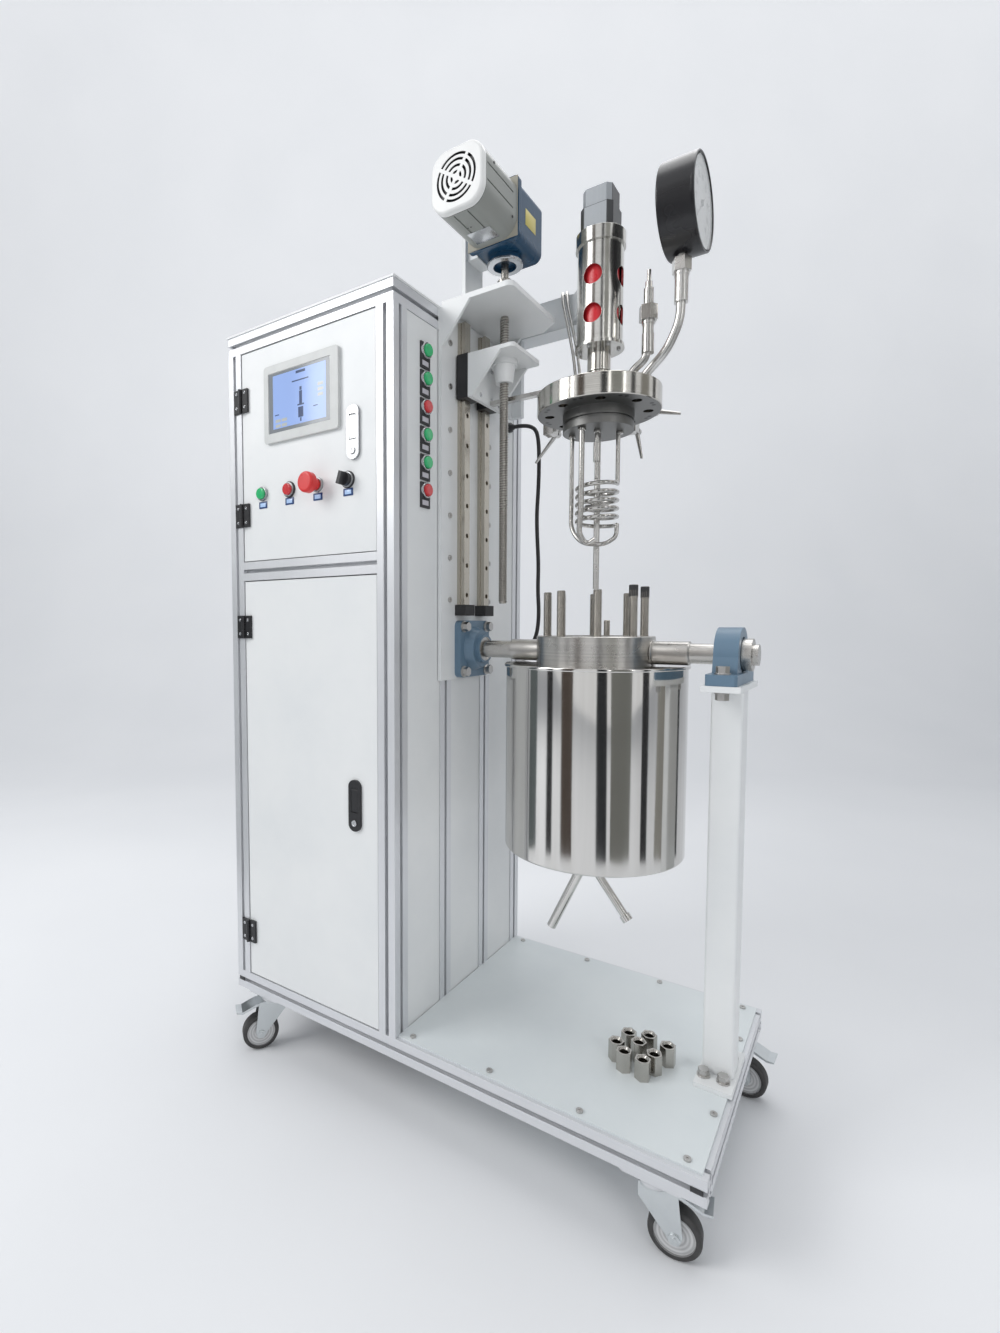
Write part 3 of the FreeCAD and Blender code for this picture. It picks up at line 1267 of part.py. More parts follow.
def stirrer():
    """Magnet rotor in the drum, shaft through the lid and a four-bladed impeller in the coil."""
    shaft = upright(vessel_x, 0, lid_bottom - STIRRER_REACH, drive_bottom + 30, STIRRER_RADIUS)
    rotor = upright(vessel_x, 0, drive_bottom + 14, drive_top - 4, ROTOR_RADIUS)
    hub_z = coil_bottom + 34
    hub = upright(vessel_x, 0, hub_z - 9, hub_z + 9, STIRRER_RADIUS + 3)
    blades = []
    for k in range(4):
        blade = block((vessel_x + 4, vessel_x + IMPELLER_RADIUS), (-1, 1), (hub_z - 8, hub_z + 8))
        blade = turned(blade, 40, (vessel_x, 0, hub_z), X_AXIS)
        blades.append(turned(blade, 90 * k, (vessel_x, 0, hub_z), Z_AXIS))
    return fused(shaft, rotor, hub, *blades)


spigot_low = lid_bottom - SPIGOT_DEPTH


def cooling_coil():
    """Stainless tube: down outside the helix, round in a loop, up the helix and out."""
    height = COIL_PITCH * COIL_TURNS
    helix = Part.makeHelix(COIL_PITCH, height, COIL_RADIUS)
    ring = Part.Wire(Part.Circle(V(COIL_RADIUS, 0, 0), Y_AXIS, COIL_TUBE).toShape())
    coil = Part.Wire(helix.Edges).makePipeShell([ring], True, True)
    coil = moved(turned(coil, 20, (0, 0, 0), Z_AXIS), vessel_x, 0, coil_bottom)
    angle = math.radians(20)
    x = vessel_x + COIL_RADIUS * math.cos(angle)
    y = COIL_RADIUS * math.sin(angle)
    ball_low = Part.makeSphere(COIL_TUBE, V(x, y, coil_bottom))
    ball_high = Part.makeSphere(COIL_TUBE, V(x, y, coil_bottom + height))
    riser = upright(x, y, coil_bottom + height, spigot_low, COIL_TUBE)
    outer = vessel_x - COIL_RADIUS - 10
    loop, _, _ = tube_path(
        [(x, y, coil_bottom), (x, y - 2, coil_bottom - 22), (vessel_x + 20, -13, coil_bottom - 38),
         (vessel_x - 22, -19, coil_bottom - 34), (outer, -12, coil_bottom - 4),
         (outer, -10, coil_bottom + 40)], COIL_TUBE)
    other = upright(outer, -10, coil_bottom + 40, spigot_low, COIL_TUBE)
    return fused(coil, ball_low, ball_high, riser, loop, other)


def dip_tubes():
    """Sampling tube with its hooked end and the thermometer pocket with its sleeve."""
    x = vessel_x - 12
    y = -COIL_RADIUS - 12
    hook, _, _ = tube_path(
        [(x, y, spigot_low), (x, y, coil_bottom + 20), (x - 4, y + 1, coil_bottom - 20),
         (x + 10, y + 4, coil_bottom - 40), (x + 26, y + 6, coil_bottom - 30)], 5)
    pocket_x = vessel_x + 6
    pocket = upright(pocket_x, -20, coil_bottom + 82, spigot_low, 4)
    sleeve = upright(pocket_x, -20, coil_bottom + 112, coil_bottom + 146, 6.5)
    return [hook, fused(pocket, sleeve)]


def lid_disc():
    return upright(vessel_x, 0, lid_bottom, lid_top, LID_RADIUS)


def valve_place(name):
    x, y, z = VALVES[name][0]
    return vessel_x + x, y, lid_top + z


def valve_body(name):
    """Pipe from the rim of the lid to a block valve whose spindle points to the back."""
    x, y, z = valve_place(name)
    rim_x, rim_y = VALVES[name][1]
    root = V(vessel_x + rim_x, rim_y, lid_top - VALVE_PIPE_DROP)
    core = V(x, y - VALVE_REACH, z)
    along = core - root
    pipe = Part.makeCylinder(VALVE_PIPE_RADIUS, along.Length, root, along)
    body = centred(x, y - VALVE_REACH, z, *VALVE_BLOCK)
    gland = rod((x, y - VALVE_REACH + 12, z), Y_AXIS, 8.5, 9)
    spindle = rod((x, y - VALVE_REACH + 20, z), Y_AXIS, SPINDLE_RADIUS, VALVE_REACH - 16)
    return fused(pipe, body, gland, spindle).cut(lid_disc())


def valve_handle(name):
    """Tapered cross bar on a hub that turns on the spindle."""
    x, y, z = valve_place(name)
    lean, long_arm, short_arm = VALVES[name][2]
    hub = rod((x, y - 6, z), Y_AXIS, 8, 12)
    bore = rod((x, y - 7, z), Y_AXIS, SPINDLE_RADIUS + RUNNING_FIT, 12)
    arms = [
        cone((x, y, z), V(0, 0, -1), 5, 2.6, long_arm),
        cone((x, y, z), Z_AXIS, 5, 3.2, short_arm),
    ]
    return fused(hub, *[turned(arm, lean, (x, y, z), Y_AXIS) for arm in arms]).cut(bore)


def pressure_transmitter():
    """Slim transmitter stacked on a short bent pipe."""
    x = vessel_x + TRANSMITTER_PLACE[0]
    y = TRANSMITTER_PLACE[1]
    foot, _, _ = tube_path(
        [(x - 42, y - 3, lid_top - 9), (x - 25, y - 3, lid_top + 22),
         (x - 4, y, lid_top + 38), (x, y, lid_top + 58)], TRANSMITTER_PIPE)
    stack = [upright(x, y, lid_top + low, lid_top + high, r) for low, high, r in TRANSMITTER]
    across, height = TRANSMITTER_HEXAGON
    nut = hexagon(x, y, lid_top + TRANSMITTER[2][1], across, height)
    return fused(foot.cut(lid_disc()), nut, *stack)


def capillary_tubes():
    """Two thin tubes that rise from the lid and hook over the boom."""
    solids = []
    y = CAPILLARY_PLACE[1]
    for shift in (0, CAPILLARY_PITCH):
        x = vessel_x + CAPILLARY_PLACE[0] + shift
        line, _, _ = tube_path(
            [(x, y, lid_top - 2), (x - 2, y + 4, lid_top + 40), (x - 14, y + 20, lid_top + 100),
             (x - 34, boom_front - 22, boom_top - 81), (x - 50, boom_front - 14, boom_top - 23),
             (x - 56, boom_front - 6, boom_top + 9), (x - 62, boom_front + 24, boom_top + 3.5)],
            CAPILLARY_RADIUS)
        solids.append(line.cut(lid_disc()))
    return solids


def lid_fittings():
    """Valve bodies, transmitter, capillaries, lifting lugs and the steadying arm."""
    solids = [valve_body(name) for name in VALVES]
    solids += [pressure_transmitter(), lid_arm()] + capillary_tubes()
    length, width, height = LUG_SIZE
    for x, y in LUG_PLACES:
        solids.append(centred(vessel_x + x, y, lid_top + height / 2, length, width, height))
    return solids


def pressure_gauge():
    """Black cased dial gauge on a bent pipe, its dial facing +X."""
    x = vessel_x + GAUGE_STEM_X
    y = GAUGE_SHIFT
    middle = lid_top + GAUGE_RISE
    pipe, _, _ = tube_path(
        [(x - 90, y + 13, lid_top - 9), (x - 58, y + 13, lid_top + 26), (x - 24, y + 9, lid_top + 54),
         (x - 2, y + 3, lid_top + 96), (x, y, lid_top + 134)], GAUGE_PIPE)
    case_low = middle - GAUGE_RADIUS
    stack = [
        upright(x, y, lid_top + 124, lid_top + 168, 11.5),
        upright(x, y, lid_top + 168, lid_top + 174, 12.5),
        hexagon(x, y, lid_top + 174, 28, 22),
        upright(x, y, lid_top + 195, case_low + 6, 9),
    ]
    front = vessel_x + GAUGE_FRONT
    case = rod((front - GAUGE_DEPTH, y, middle), X_AXIS, GAUGE_RADIUS, GAUGE_DEPTH)
    case = case.makeFillet(3, [e for e in case.Edges if e.Length > 400])
    dish = rod((front - 5, y, middle), X_AXIS, GAUGE_RADIUS - 5, 6)
    return fused(pipe.cut(lid_disc()), *stack, case.cut(dish))


# Cords

cable_x = panel_face + GLAND_LENGTH
run_x = cable_x + CABLE_OUT - GLAND_LENGTH
cable_y = half_depth - PROFILE - CABLE_INSET
cable_top = cabinet_top - CABLE_DROP
cable_end = cable_top - CABLE_FALL
run_top = cable_top - 42
cable_points = [
    (cable_x, cable_y, cable_top), (cable_x + 26, cable_y, cable_top),
    (run_x - 8, cable_y + 1, cable_top - 12), (run_x, cable_y, run_top),
    (run_x + 2, cable_y - 1, run_top - CABLE_STEP), (run_x, cable_y, run_top - 2 * CABLE_STEP),
    (run_x - 3, cable_y - 1, run_top - 3 * CABLE_STEP), (run_x - 1, cable_y, run_top - 4 * CABLE_STEP),
    (run_x + 2, cable_y + 1, run_top - 5 * CABLE_STEP), (run_x + 2, cable_y - 2, run_top - 6 * CABLE_STEP),
    (run_x + 5, cable_y, cable_end + 88), (run_x, cable_y, cable_end + 38),
    (run_x - 18, cable_y, cable_end + 9), (cable_x + 24, cable_y, cable_end), (cable_x, cable_y, cable_end),
]


def cable_fittings():
    """Glands where the cable leaves and enters the cabinet."""
    solids = []
    for z in (cable_top, cable_end):
        nut = rod((panel_face, cable_y, z), X_AXIS, 11, 6)
        neck = cone((panel_face + 6, cable_y, z), X_AXIS, 9, 5.5, GLAND_LENGTH - 6)
        solids.append(fused(nut, neck))
    return solids


heater_points = [
    (vessel_x + 40, 26, jacket_bottom - GLAND_LENGTH), (vessel_x + 40, 26, jacket_bottom - 36),
    (vessel_x + 26, 34, jacket_bottom - 60), (vessel_x - 4, 44, jacket_bottom - 76),
    (vessel_x - 38, 56, jacket_bottom - 76), (vessel_x - 68, 70, jacket_bottom - 56),
    (vessel_x - 88, 80, jacket_bottom - 34), (vessel_x - 88, 80, jacket_bottom - GLAND_LENGTH),
]


def cord(name, points, radius):
    """Save a cord's tube and print what its route measures."""
    tube, radii, length = tube_path(points, radius)
    save(name, tube)
    print(name, "length", round(length, 1), "arc radii", [round(r, 1) for r in radii])
    print(name, "volume over section times length", round(tube.Volume / (math.pi * radius**2 * length), 6))


os.makedirs("parts", exist_ok=True)

save("base_frame", *base_frame())
for name, place in caster_places().items():
    save(f"caster_fork_{name}", caster_fork(*place))
    save(f"caster_wheel_{name}", caster_wheel(*place))
save("deck", deck())
save("cabinet_frame", *cabinet_frame())
save("cabinet_panels", *cabinet_panels())
save("door_hinges", *[hinge_fixed(z) for pair in hinge_heights.values() for z in pair])
save("upper_door", door(upper_door_z, hinge_heights["upper"]))
save("lower_door", door(lower_door_z, hinge_heights["lower"]))
button_bore = BUTTON_RADIUS + CONTROL_GAP
collar_bores = (button_bore, button_bore, ESTOP_STEM_RADIUS + CONTROL_GAP, KNOB_STEM + CONTROL_GAP)
collars = [collar(x, control_z, bore) for x, bore in zip(control_x, collar_bores)]
save("upper_door_fittings", lock_plate(*upper_lock), *collars)
save("lower_lock", lock_plate(*lower_lock))
save("upper_lock_paddle", lock_paddle(*upper_lock))
save("lower_lock_paddle", lock_paddle(*lower_lock))
save("operator_screen", operator_screen())
save("green_button", push_button(control_x[0], control_z))
save("red_button", push_button(control_x[1], control_z))
save("stop_button", stop_button(control_x[2], control_z))
save("selector_knob", selector_knob(control_x[3], control_z))
save("side_button_plates", *[side_plate(z) for z in side_button_heights])
for number, z in enumerate(side_button_heights, 1):
    save(f"side_button_{number}", side_button(z))
save("lift_plate", lift_plate())
save("guide_rails", *guide_rails())
save("rail_stops", *rail_stops())
save("guide_blocks", *guide_blocks())
save("carriage_bracket", carriage_bracket())
save("lift_boom", lift_boom())
save("lead_screw", lead_screw())
save("motor_plate", motor_plate())
save("gearbox", gearbox())
save("gear_motor", gear_motor())
save("vessel", *vessel(), shaft_collar())
save("jacket", *jacket())
save("studs", *studs())
save("trunnion_bearings", flange_bearing(), pillow_block())
save("support_post", support_post())
save("fasteners", *fasteners(), *cable_fittings())
save("stud_nuts", *loose_nuts())
save("lid", *lid())
save("drive_housing", drive_housing())
save("drive_motor", drive_motor())
save("stirrer", stirrer())
save("cooling_coil", cooling_coil(), *dip_tubes())
save("lid_fittings", *lid_fittings())
for name in VALVES:
    save(f"valve_handle_{name}", valve_handle(name))
save("pressure_gauge", pressure_gauge())
cord("drive_cable", cable_points, CABLE_RADIUS)
cord("heater_cable", heater_points, HEATER_RADIUS)
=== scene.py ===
import math

import bpy
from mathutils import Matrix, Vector


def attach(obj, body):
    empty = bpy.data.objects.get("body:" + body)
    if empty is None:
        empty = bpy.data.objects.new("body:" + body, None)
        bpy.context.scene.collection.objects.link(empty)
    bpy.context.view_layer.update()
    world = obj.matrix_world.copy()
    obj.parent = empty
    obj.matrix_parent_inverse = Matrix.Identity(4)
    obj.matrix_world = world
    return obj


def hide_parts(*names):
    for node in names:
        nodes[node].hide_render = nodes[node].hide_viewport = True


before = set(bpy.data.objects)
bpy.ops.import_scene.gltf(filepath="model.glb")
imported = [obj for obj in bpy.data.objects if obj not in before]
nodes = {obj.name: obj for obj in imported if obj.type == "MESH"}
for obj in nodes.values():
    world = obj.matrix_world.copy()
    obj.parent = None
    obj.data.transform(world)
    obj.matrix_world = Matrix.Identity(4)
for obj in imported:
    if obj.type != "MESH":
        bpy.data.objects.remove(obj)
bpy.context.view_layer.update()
bpy.ops.object.select_all(action="DESELECT")

# The studio: a pale seamless sheet on the floor that curves up behind the machine, large soft
# lamps, and dark flags round the set that only the bright metal mirrors. The camera stands low
# and close in front of the cabinet's right edge.


def feed(node, values):
    """Give a node's inputs a constant, a colour without its alpha, or another node's output."""
    for key, value in values.items():
        if isinstance(value, bpy.types.NodeSocket):
            node.id_data.links.new(value, node.inputs[key])
        elif node.inputs[key].type == "RGBA":
            node.inputs[key].default_value = (*value, 1)
        else:
            node.inputs[key].default_value = value
    return node


def put(tree, kind, values=None, **settings):
    """A shader node with its settings and its inputs."""
    made = tree.nodes.new("ShaderNode" + kind)
    for key, value in settings.items():
        setattr(made, key, value)
    return feed(made, values or {})


def object_place(tree):
    """The point's place in the object."""
    return put(tree, "TexCoord").outputs["Object"]


def coordinate(tree, axis):
    """The point's X, Y or Z in the object."""
    return put(tree, "SeparateXYZ", {0: object_place(tree)}).outputs[axis]


def noise(tree, place, scale, detail, rough=0.5):
    """Smooth noise at a place."""
    values = {"Vector": place, "Scale": scale, "Detail": detail, "Roughness": rough}
    return put(tree, "TexNoise", values).outputs["Fac"]


def mixed(tree, factor, first, second, **settings):
    """A colour between two others."""
    values = {"Factor": factor, "A": first, "B": second}
    return put(tree, "Mix", values, data_type="RGBA", **settings).outputs["Result"]


def ramp(tree, value, low=0.0, high=1.0, start=0.0, end=1.0):
    """A value led from the range start to end into the range low to high."""
    values = {"Value": value, "From Min": start, "From Max": end, "To Min": low, "To Max": high}
    return put(tree, "MapRange", values).outputs["Result"]


def calc(tree, operation, *terms):
    """A sum of one to three terms."""
    return put(tree, "Math", dict(enumerate(terms)), operation=operation).outputs[0]


def finish_for(name):
    """A new material with its node tree."""
    made = bpy.data.materials.new(name)
    made.use_nodes = True
    return made, made.node_tree


def feed_shader(made, values):
    """Give the inputs of a material's shader their values."""
    return feed(made.node_tree.nodes["Principled BSDF"], values)


def edit_mode():
    """Shape the active mesh."""
    bpy.ops.object.mode_set(mode="EDIT")


def object_mode():
    """Leave the mesh as it is shaped."""
    bpy.ops.object.mode_set(mode="OBJECT")


SHEET_WIDTH = 26
SHEET_DEPTH = 11
bpy.ops.mesh.primitive_plane_add(size=1)
backdrop = bpy.context.object
backdrop.name = "backdrop"
for vertex in backdrop.data.vertices:
    vertex.co = (vertex.co.x * SHEET_WIDTH, vertex.co.y * SHEET_DEPTH, 0)
edit_mode()
bpy.ops.mesh.select_mode(type="EDGE")
bpy.ops.mesh.select_all(action="DESELECT")
object_mode()
for edge in backdrop.data.edges:
    edge.select = all(backdrop.data.vertices[v].co.y > 5 for v in edge.vertices)
edit_mode()
bpy.ops.mesh.extrude_region_move(TRANSFORM_OT_translate={"value": (0, 0, SHEET_DEPTH)})
object_mode()
for edge in backdrop.data.edges:
    edge.select = all(v.co.y > 5 and v.co.z < 1 for v in (backdrop.data.vertices[i] for i in edge.vertices))
edit_mode()
bpy.ops.mesh.bevel(offset=3.0, segments=20, affect="EDGES")
object_mode()
backdrop.rotation_euler = (0, 0, math.radians(35))
bpy.ops.object.transform_apply(location=False, rotation=True, scale=False)
bpy.ops.object.shade_smooth()
paper, tree = finish_for("backdrop_paper")
place = object_place(tree)
mottle = noise(tree, place, 1.3, 2.0)
tone = mixed(tree, mottle, (0.80, 0.81, 0.825), (0.86, 0.865, 0.875))
# The sheet's glow grows with its height: painted light that brightens the backdrop towards its top.
rise = ramp(tree, coordinate(tree, "Z"), end=7.0)
rise = calc(tree, "POWER", rise, 0.6)
glow = calc(tree, "MULTIPLY", rise, 0.5)
feed_shader(paper, {"Base Color": tone, "Emission Color": tone, "Emission Strength": glow, "Roughness": 0.75,
                    "Specular IOR Level": 0.2})
backdrop.data.materials.append(paper)
flags = []
FLAG_DISTANCE = 1.7
FLAG_HEIGHT = 2.8
for bearing, width, tint in (
    (-178, 0.42, (0.06, 0.07, 0.07)), (-153, 0.75, (0.14, 0.16, 0.16)), (-122, 0.22, (0.02, 0.02, 0.022)),
    (-101, 0.40, (0.10, 0.075, 0.06)), (-60, 0.36, (0.02, 0.022, 0.025)), (-38, 0.70, (0.20, 0.20, 0.18)),
    (-8, 0.26, (0.02, 0.02, 0.022)), (18, 0.62, (0.28, 0.27, 0.24)), (44, 0.30, (0.05, 0.05, 0.05)),
):
    bpy.ops.mesh.primitive_plane_add(size=1, rotation=(math.pi / 2, 0, math.radians(bearing + 90)))
    flag = bpy.context.object
    flag.name = f"dark_flag_{len(flags)}"
    flag.scale = (width, FLAG_HEIGHT, 1)
    turn = math.radians(bearing)
    flag.location = (0.23 + FLAG_DISTANCE * math.cos(turn), FLAG_DISTANCE * math.sin(turn), FLAG_HEIGHT / 2)
    bpy.ops.object.transform_apply(location=True, rotation=True, scale=True)
    cloth, tree = finish_for(flag.name)
    feed_shader(cloth, {"Base Color": tint, "Roughness": 0.9})
    flag.data.materials.append(cloth)
    flag.visible_camera = False
    flag.visible_diffuse = False
    flag.visible_shadow = False
    flags.append(flag)

world = bpy.context.scene.world or bpy.data.worlds.new("studio")
bpy.context.scene.world = world
world.use_nodes = True
tree = world.node_tree
tree.nodes.clear()
seen = put(tree, "LightPath").outputs
room = put(tree, "Background", {"Color": (0.9, 0.94, 1.0), "Strength": 0.42})
pale = put(tree, "Background", {"Color": (0.84, 0.85, 0.87), "Strength": 1.0})
direct = calc(tree, "MAXIMUM", seen["Is Camera Ray"], seen["Is Glossy Ray"])
shown = calc(tree, "MAXIMUM", direct, seen["Is Transmission Ray"])
sky = put(tree, "MixShader", {"Fac": shown, 1: room.outputs[0], 2: pale.outputs[0]})
put(tree, "OutputWorld", {"Surface": sky.outputs[0]})

for name, spot, aim, size, power in (
    ("key_lamp", (-2.6, -3.2, 3.4), (0, 0, 1.0), 2.4, 108),
    ("fill_lamp", (3.4, -2.4, 2.2), (0.1, 0, 0.9), 2.0, 34),
    ("top_lamp", (0.4, 0.6, 4.2), (0.1, 0, 0.8), 3.0, 52),
):
    lamp = bpy.data.lights.new(name, "AREA")
    lamp.size = size
    lamp.energy = power
    holder = bpy.data.objects.new(name, lamp)
    bpy.context.collection.objects.link(holder)
    holder.location = spot
    holder.rotation_euler = (Vector(aim) - Vector(spot)).to_track_quat("-Z", "Y").to_euler()

eye = bpy.data.cameras.new("camera")
eye.lens = 17.57
eye.sensor_width = 36.0
eye.sensor_fit = "AUTO"
eye.shift_x = 0.0551
eye.shift_y = -0.0033
camera = bpy.data.objects.new("camera", eye)
bpy.context.collection.objects.link(camera)
camera.location = (0.6734, -1.1843, 0.942)
camera.rotation_euler = (math.radians(86.75), 0, math.radians(34.91))
bpy.context.scene.camera = camera
bpy.context.scene.view_settings.view_transform = "Standard"

# Cords: the black rubber cable of the lift's limit switches, which hangs along the side panel
# from gland to gland, and the short heater cable looped under the jacket.


def finish_ends(made, colour, gloss, normal, metallic=0.0):
    """Lead colour, gloss and relief to the material's shader."""
    return feed_shader(made, {"Base Color": colour, "Roughness": gloss, "Normal": normal,
                              "Metallic": metallic})


def sheath(name, tint, rub):
    """Soft black cable sheath with faint drawing marks and a dusty bloom."""
    made, tree = finish_for(name)
    place = object_place(tree)
    bloom = noise(tree, place, 60.0, 4.0)
    tone = mixed(tree, bloom, tint, rub)
    fine = noise(tree, place, 900.0, 2.0)
    gloss = ramp(tree, bloom, 0.34, 0.55)
    bump = put(tree, "Bump", {"Height": fine, "Strength": 0.25, "Distance": 0.0002})
    finish_ends(made, tone, gloss, bump.outputs["Normal"])
    return made


def hung_cable(name, points, diameter, body, node):
    """A cable laid along its route's points, in the place of its tube."""
    bpy.ops.curve.primitive_nurbs_path_add()
    made = bpy.context.object
    made.name = name
    line = made.data
    line.splines.clear()
    route = line.splines.new("NURBS")
    route.points.add(len(points) - 1)
    for spot, point in zip(route.points, points):
        spot.co = (*[value / 1000 for value in point], 1)
    route.order_u = 3
    route.use_endpoint_u = True
    route.resolution_u = 10
    line.dimensions = "3D"
    line.bevel_depth = diameter / 2
    line.bevel_resolution = 5
    line.use_fill_caps = True
    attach(made, body)
    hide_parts(node)
    return made


rubber_sheath = sheath("cable_rubber_sheath", (0.012, 0.012, 0.013), (0.035, 0.035, 0.037))
lift_cable = hung_cable("lift_cable", [
    (-38, 190, 1400), (-12, 190, 1400), (16, 191, 1388), (24, 190, 1358), (26, 189, 1302),
    (24, 190, 1246), (21, 189, 1190), (23, 190, 1134), (26, 191, 1078), (26, 188, 1022),
    (29, 190, 968), (24, 190, 918), (6, 190, 889), (-14, 190, 880), (-38, 190, 880),
], 0.009, "stand", "drive_cable")
lift_cable.data.materials.append(rubber_sheath)
heater_lead = hung_cable("heater_lead", [
    (273, 26, 508), (273, 26, 486), (259, 34, 462), (229, 44, 446), (195, 56, 446), (165, 70, 466),
    (145, 80, 488), (145, 80, 508),
], 0.007, "vessel", "heater_cable")
heater_lead.data.materials.append(rubber_sheath)

# Wheeled base and cabinet frame: slotted 40 mm aluminium profile, extruded, matte etched and
# clear anodised. The rails round the top are mitred, the rest cut square.


def effect(name, inputs, outputs):
    """An empty node group with named inputs and outputs."""
    made = bpy.data.node_groups.new(name, "ShaderNodeTree")
    for label, kind, start in inputs:
        socket = made.interface.new_socket(label, in_out="INPUT", socket_type="NodeSocket" + kind)
        socket.default_value = (*start, 1) if kind == "Color" else start
    for label, kind in outputs:
        made.interface.new_socket(label, in_out="OUTPUT", socket_type="NodeSocket" + kind)
    return made, made.nodes.new("NodeGroupInput").outputs, made.nodes.new("NodeGroupOutput")


drawn_lines, given, told = effect(
    "drawn_lines",
    [("Stretch", "Vector", (900, 900, 12)), ("Light", "Color", (0.6, 0.6, 0.6)),
     ("Dark", "Color", (0.5, 0.5, 0.5))],
    [("Color", "Color"), ("Height", "Float"), ("Cloud", "Float")])
place = object_place(drawn_lines)
pulled = put(drawn_lines, "Mapping", {"Vector": place, "Scale": given["Stretch"]}).outputs["Vector"]
line = noise(drawn_lines, pulled, 1.0, 3.0, 0.6)
cloud = noise(drawn_lines, place, 7.0, 3.0)
both = calc(drawn_lines, "MULTIPLY_ADD", line, cloud, 0.15)
shade = mixed(drawn_lines, both, given["Dark"], given["Light"])
feed(told, {"Color": shade, "Height": both, "Cloud": cloud})

soft_edge, given, told = effect("soft_edge", [("Height", "Float", 0.0), ("Depth", "Float", 0.0001)],
                                [("Normal", "Vector")])
round_off = put(soft_edge, "Bevel", {"Radius": 0.0009}, samples=4).outputs["Normal"]
raised = put(soft_edge, "Bump", {"Height": given["Height"], "Distance": given["Depth"], "Strength": 0.6,
                                 "Normal": round_off})
feed(told, {"Normal": raised.outputs["Normal"]})


def place_effect(tree, group, values):
    """The effect placed in a material, with its own values."""
    made = tree.nodes.new("ShaderNodeGroup")
    made.node_tree = group
    return feed(made, values).outputs


def rounded(tree, height, depth):
    """The normal of a fine relief with soft edges."""
    return place_effect(tree, soft_edge, {"Height": height, "Depth": depth})["Normal"]


def drawn(tree, light, dark, stretch):
    """Drawn lines between two tones."""
    return place_effect(tree, drawn_lines, {"Stretch": stretch, "Light": light, "Dark": dark})


def drawn_metal(name, light, dark, stretch, rough, depth):
    """Extruded, brushed or cold drawn metal, its lines pulled along one axis."""
    made, tree = finish_for(name)
    grain = drawn(tree, light, dark, stretch)
    edge = rounded(tree, grain["Height"], depth)
    gloss = ramp(tree, grain["Cloud"], rough - 0.05, rough + 0.08)
    finish_ends(made, grain["Color"], gloss, edge, 1.0)
    return made


def dress(made, *names):
    """Give CAD nodes their finish."""
    for name in names:
        nodes[name].data.materials.clear()
        nodes[name].data.materials.append(made)


ETCHED = (0.80, 0.81, 0.83)
ETCHED_DARK = (0.66, 0.67, 0.69)
rail_metal = drawn_metal("anodised_rail", ETCHED, ETCHED_DARK, (6, 700, 700), 0.36, 0.00006)
post_metal = drawn_metal("anodised_post", ETCHED, ETCHED_DARK, (700, 700, 6), 0.36, 0.00006)
for metal in (rail_metal, post_metal):
    feed_shader(metal, {"Metallic": 0.55})
dress(rail_metal, "base_frame")
dress(post_metal, "cabinet_frame")


def grained_plastic(name, colour, rough, depth=0.00012, grain=700.0):
    """Moulded plastic with a fine spark-eroded grain and slight marbling."""
    made, tree = finish_for(name)
    place = object_place(tree)
    marble = noise(tree, place, 28.0, 3.0)
    lifted = [min(1.0, 1.35 * value + 0.012) for value in colour]
    tone = mixed(tree, marble, colour, lifted)
    skin = noise(tree, place, grain, 2.0)
    edge = rounded(tree, skin, depth)
    gloss = ramp(tree, marble, rough - 0.06, rough + 0.08)
    finish_ends(made, tone, gloss, edge)
    return made


def claim(piece, name, body, slot, *materials):
    """Name a finished piece, give it its finish and its CAD body; its slot is not used."""
    piece.name = name
    piece.data.name = name
    for made in materials:
        piece.data.materials.append(made)
    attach(piece, body)
    return piece


def settle(piece):
    """Move the piece's place into its mesh."""
    bpy.ops.object.select_all(action="DESELECT")
    piece.select_set(True)
    bpy.context.view_layer.objects.active = piece
    bpy.ops.object.transform_apply(location=True, rotation=True, scale=True)
    return piece


def softened(made, offset, segments, angle):
    """Bevel all the edges of the active mesh and smooth the shallow ones."""
    edit_mode()
    bpy.ops.mesh.select_all(action="SELECT")
    bpy.ops.mesh.bevel(offset=offset, segments=segments, affect="EDGES")
    object_mode()
    bpy.ops.object.shade_smooth_by_angle(angle=math.radians(angle))
    return made


def chamfered_block(low, high, edge, segments=2):
    """A block between two corners, in millimetres, its edges rounded."""
    middle = [(a + b) / 2000 for a, b in zip(low, high)]
    bpy.ops.mesh.primitive_cube_add(size=1, location=middle)
    made = bpy.context.object
    made.scale = [(b - a) / 1000 for a, b in zip(low, high)]
    return softened(settle(made), edge / 1000, segments, 35)


def joined(pieces):
    """Several meshes as one."""
    bpy.ops.object.select_all(action="DESELECT")
    for piece in pieces:
        piece.select_set(True)
    bpy.context.view_layer.objects.active = pieces[0]
    bpy.ops.object.join()
    return bpy.context.object


black_grain = grained_plastic("black_grained_plastic", (0.018, 0.018, 0.02), 0.42)
slot_plugs = [chamfered_block((x - 9, side * 250.3 - 0.4, 141), (x + 9, side * 250.3 + 0.1, 149), 0.1)
              for x in (-486, 486) for side in (-1, 1)]
claim(joined(slot_plugs), "profile_slot_plugs", "stand", "black_plastic", black_grain)

# Sheets: deck, cabinet panels and doors are white powder coated steel, folded or flat, and the
# panels sit in the profile's slots.

powder, given, told = effect(
    "powder_coat", [("Colour", "Color", (0.8, 0.8, 0.8)), ("Peel", "Float", 520.0)],
    [("Color", "Color"), ("Height", "Float"), ("Cloud", "Float")])
place = object_place(powder)
peel = noise(powder, place, given["Peel"], 2.0)
cloud = noise(powder, place, 5.0, 4.0, 0.6)
dusty = ramp(powder, cloud, start=0.35, end=0.75)
greyed = mixed(powder, dusty, given["Colour"], (0.93, 0.94, 0.95), blend_type="MULTIPLY")
feed(told, {"Color": greyed, "Height": peel, "Cloud": cloud})


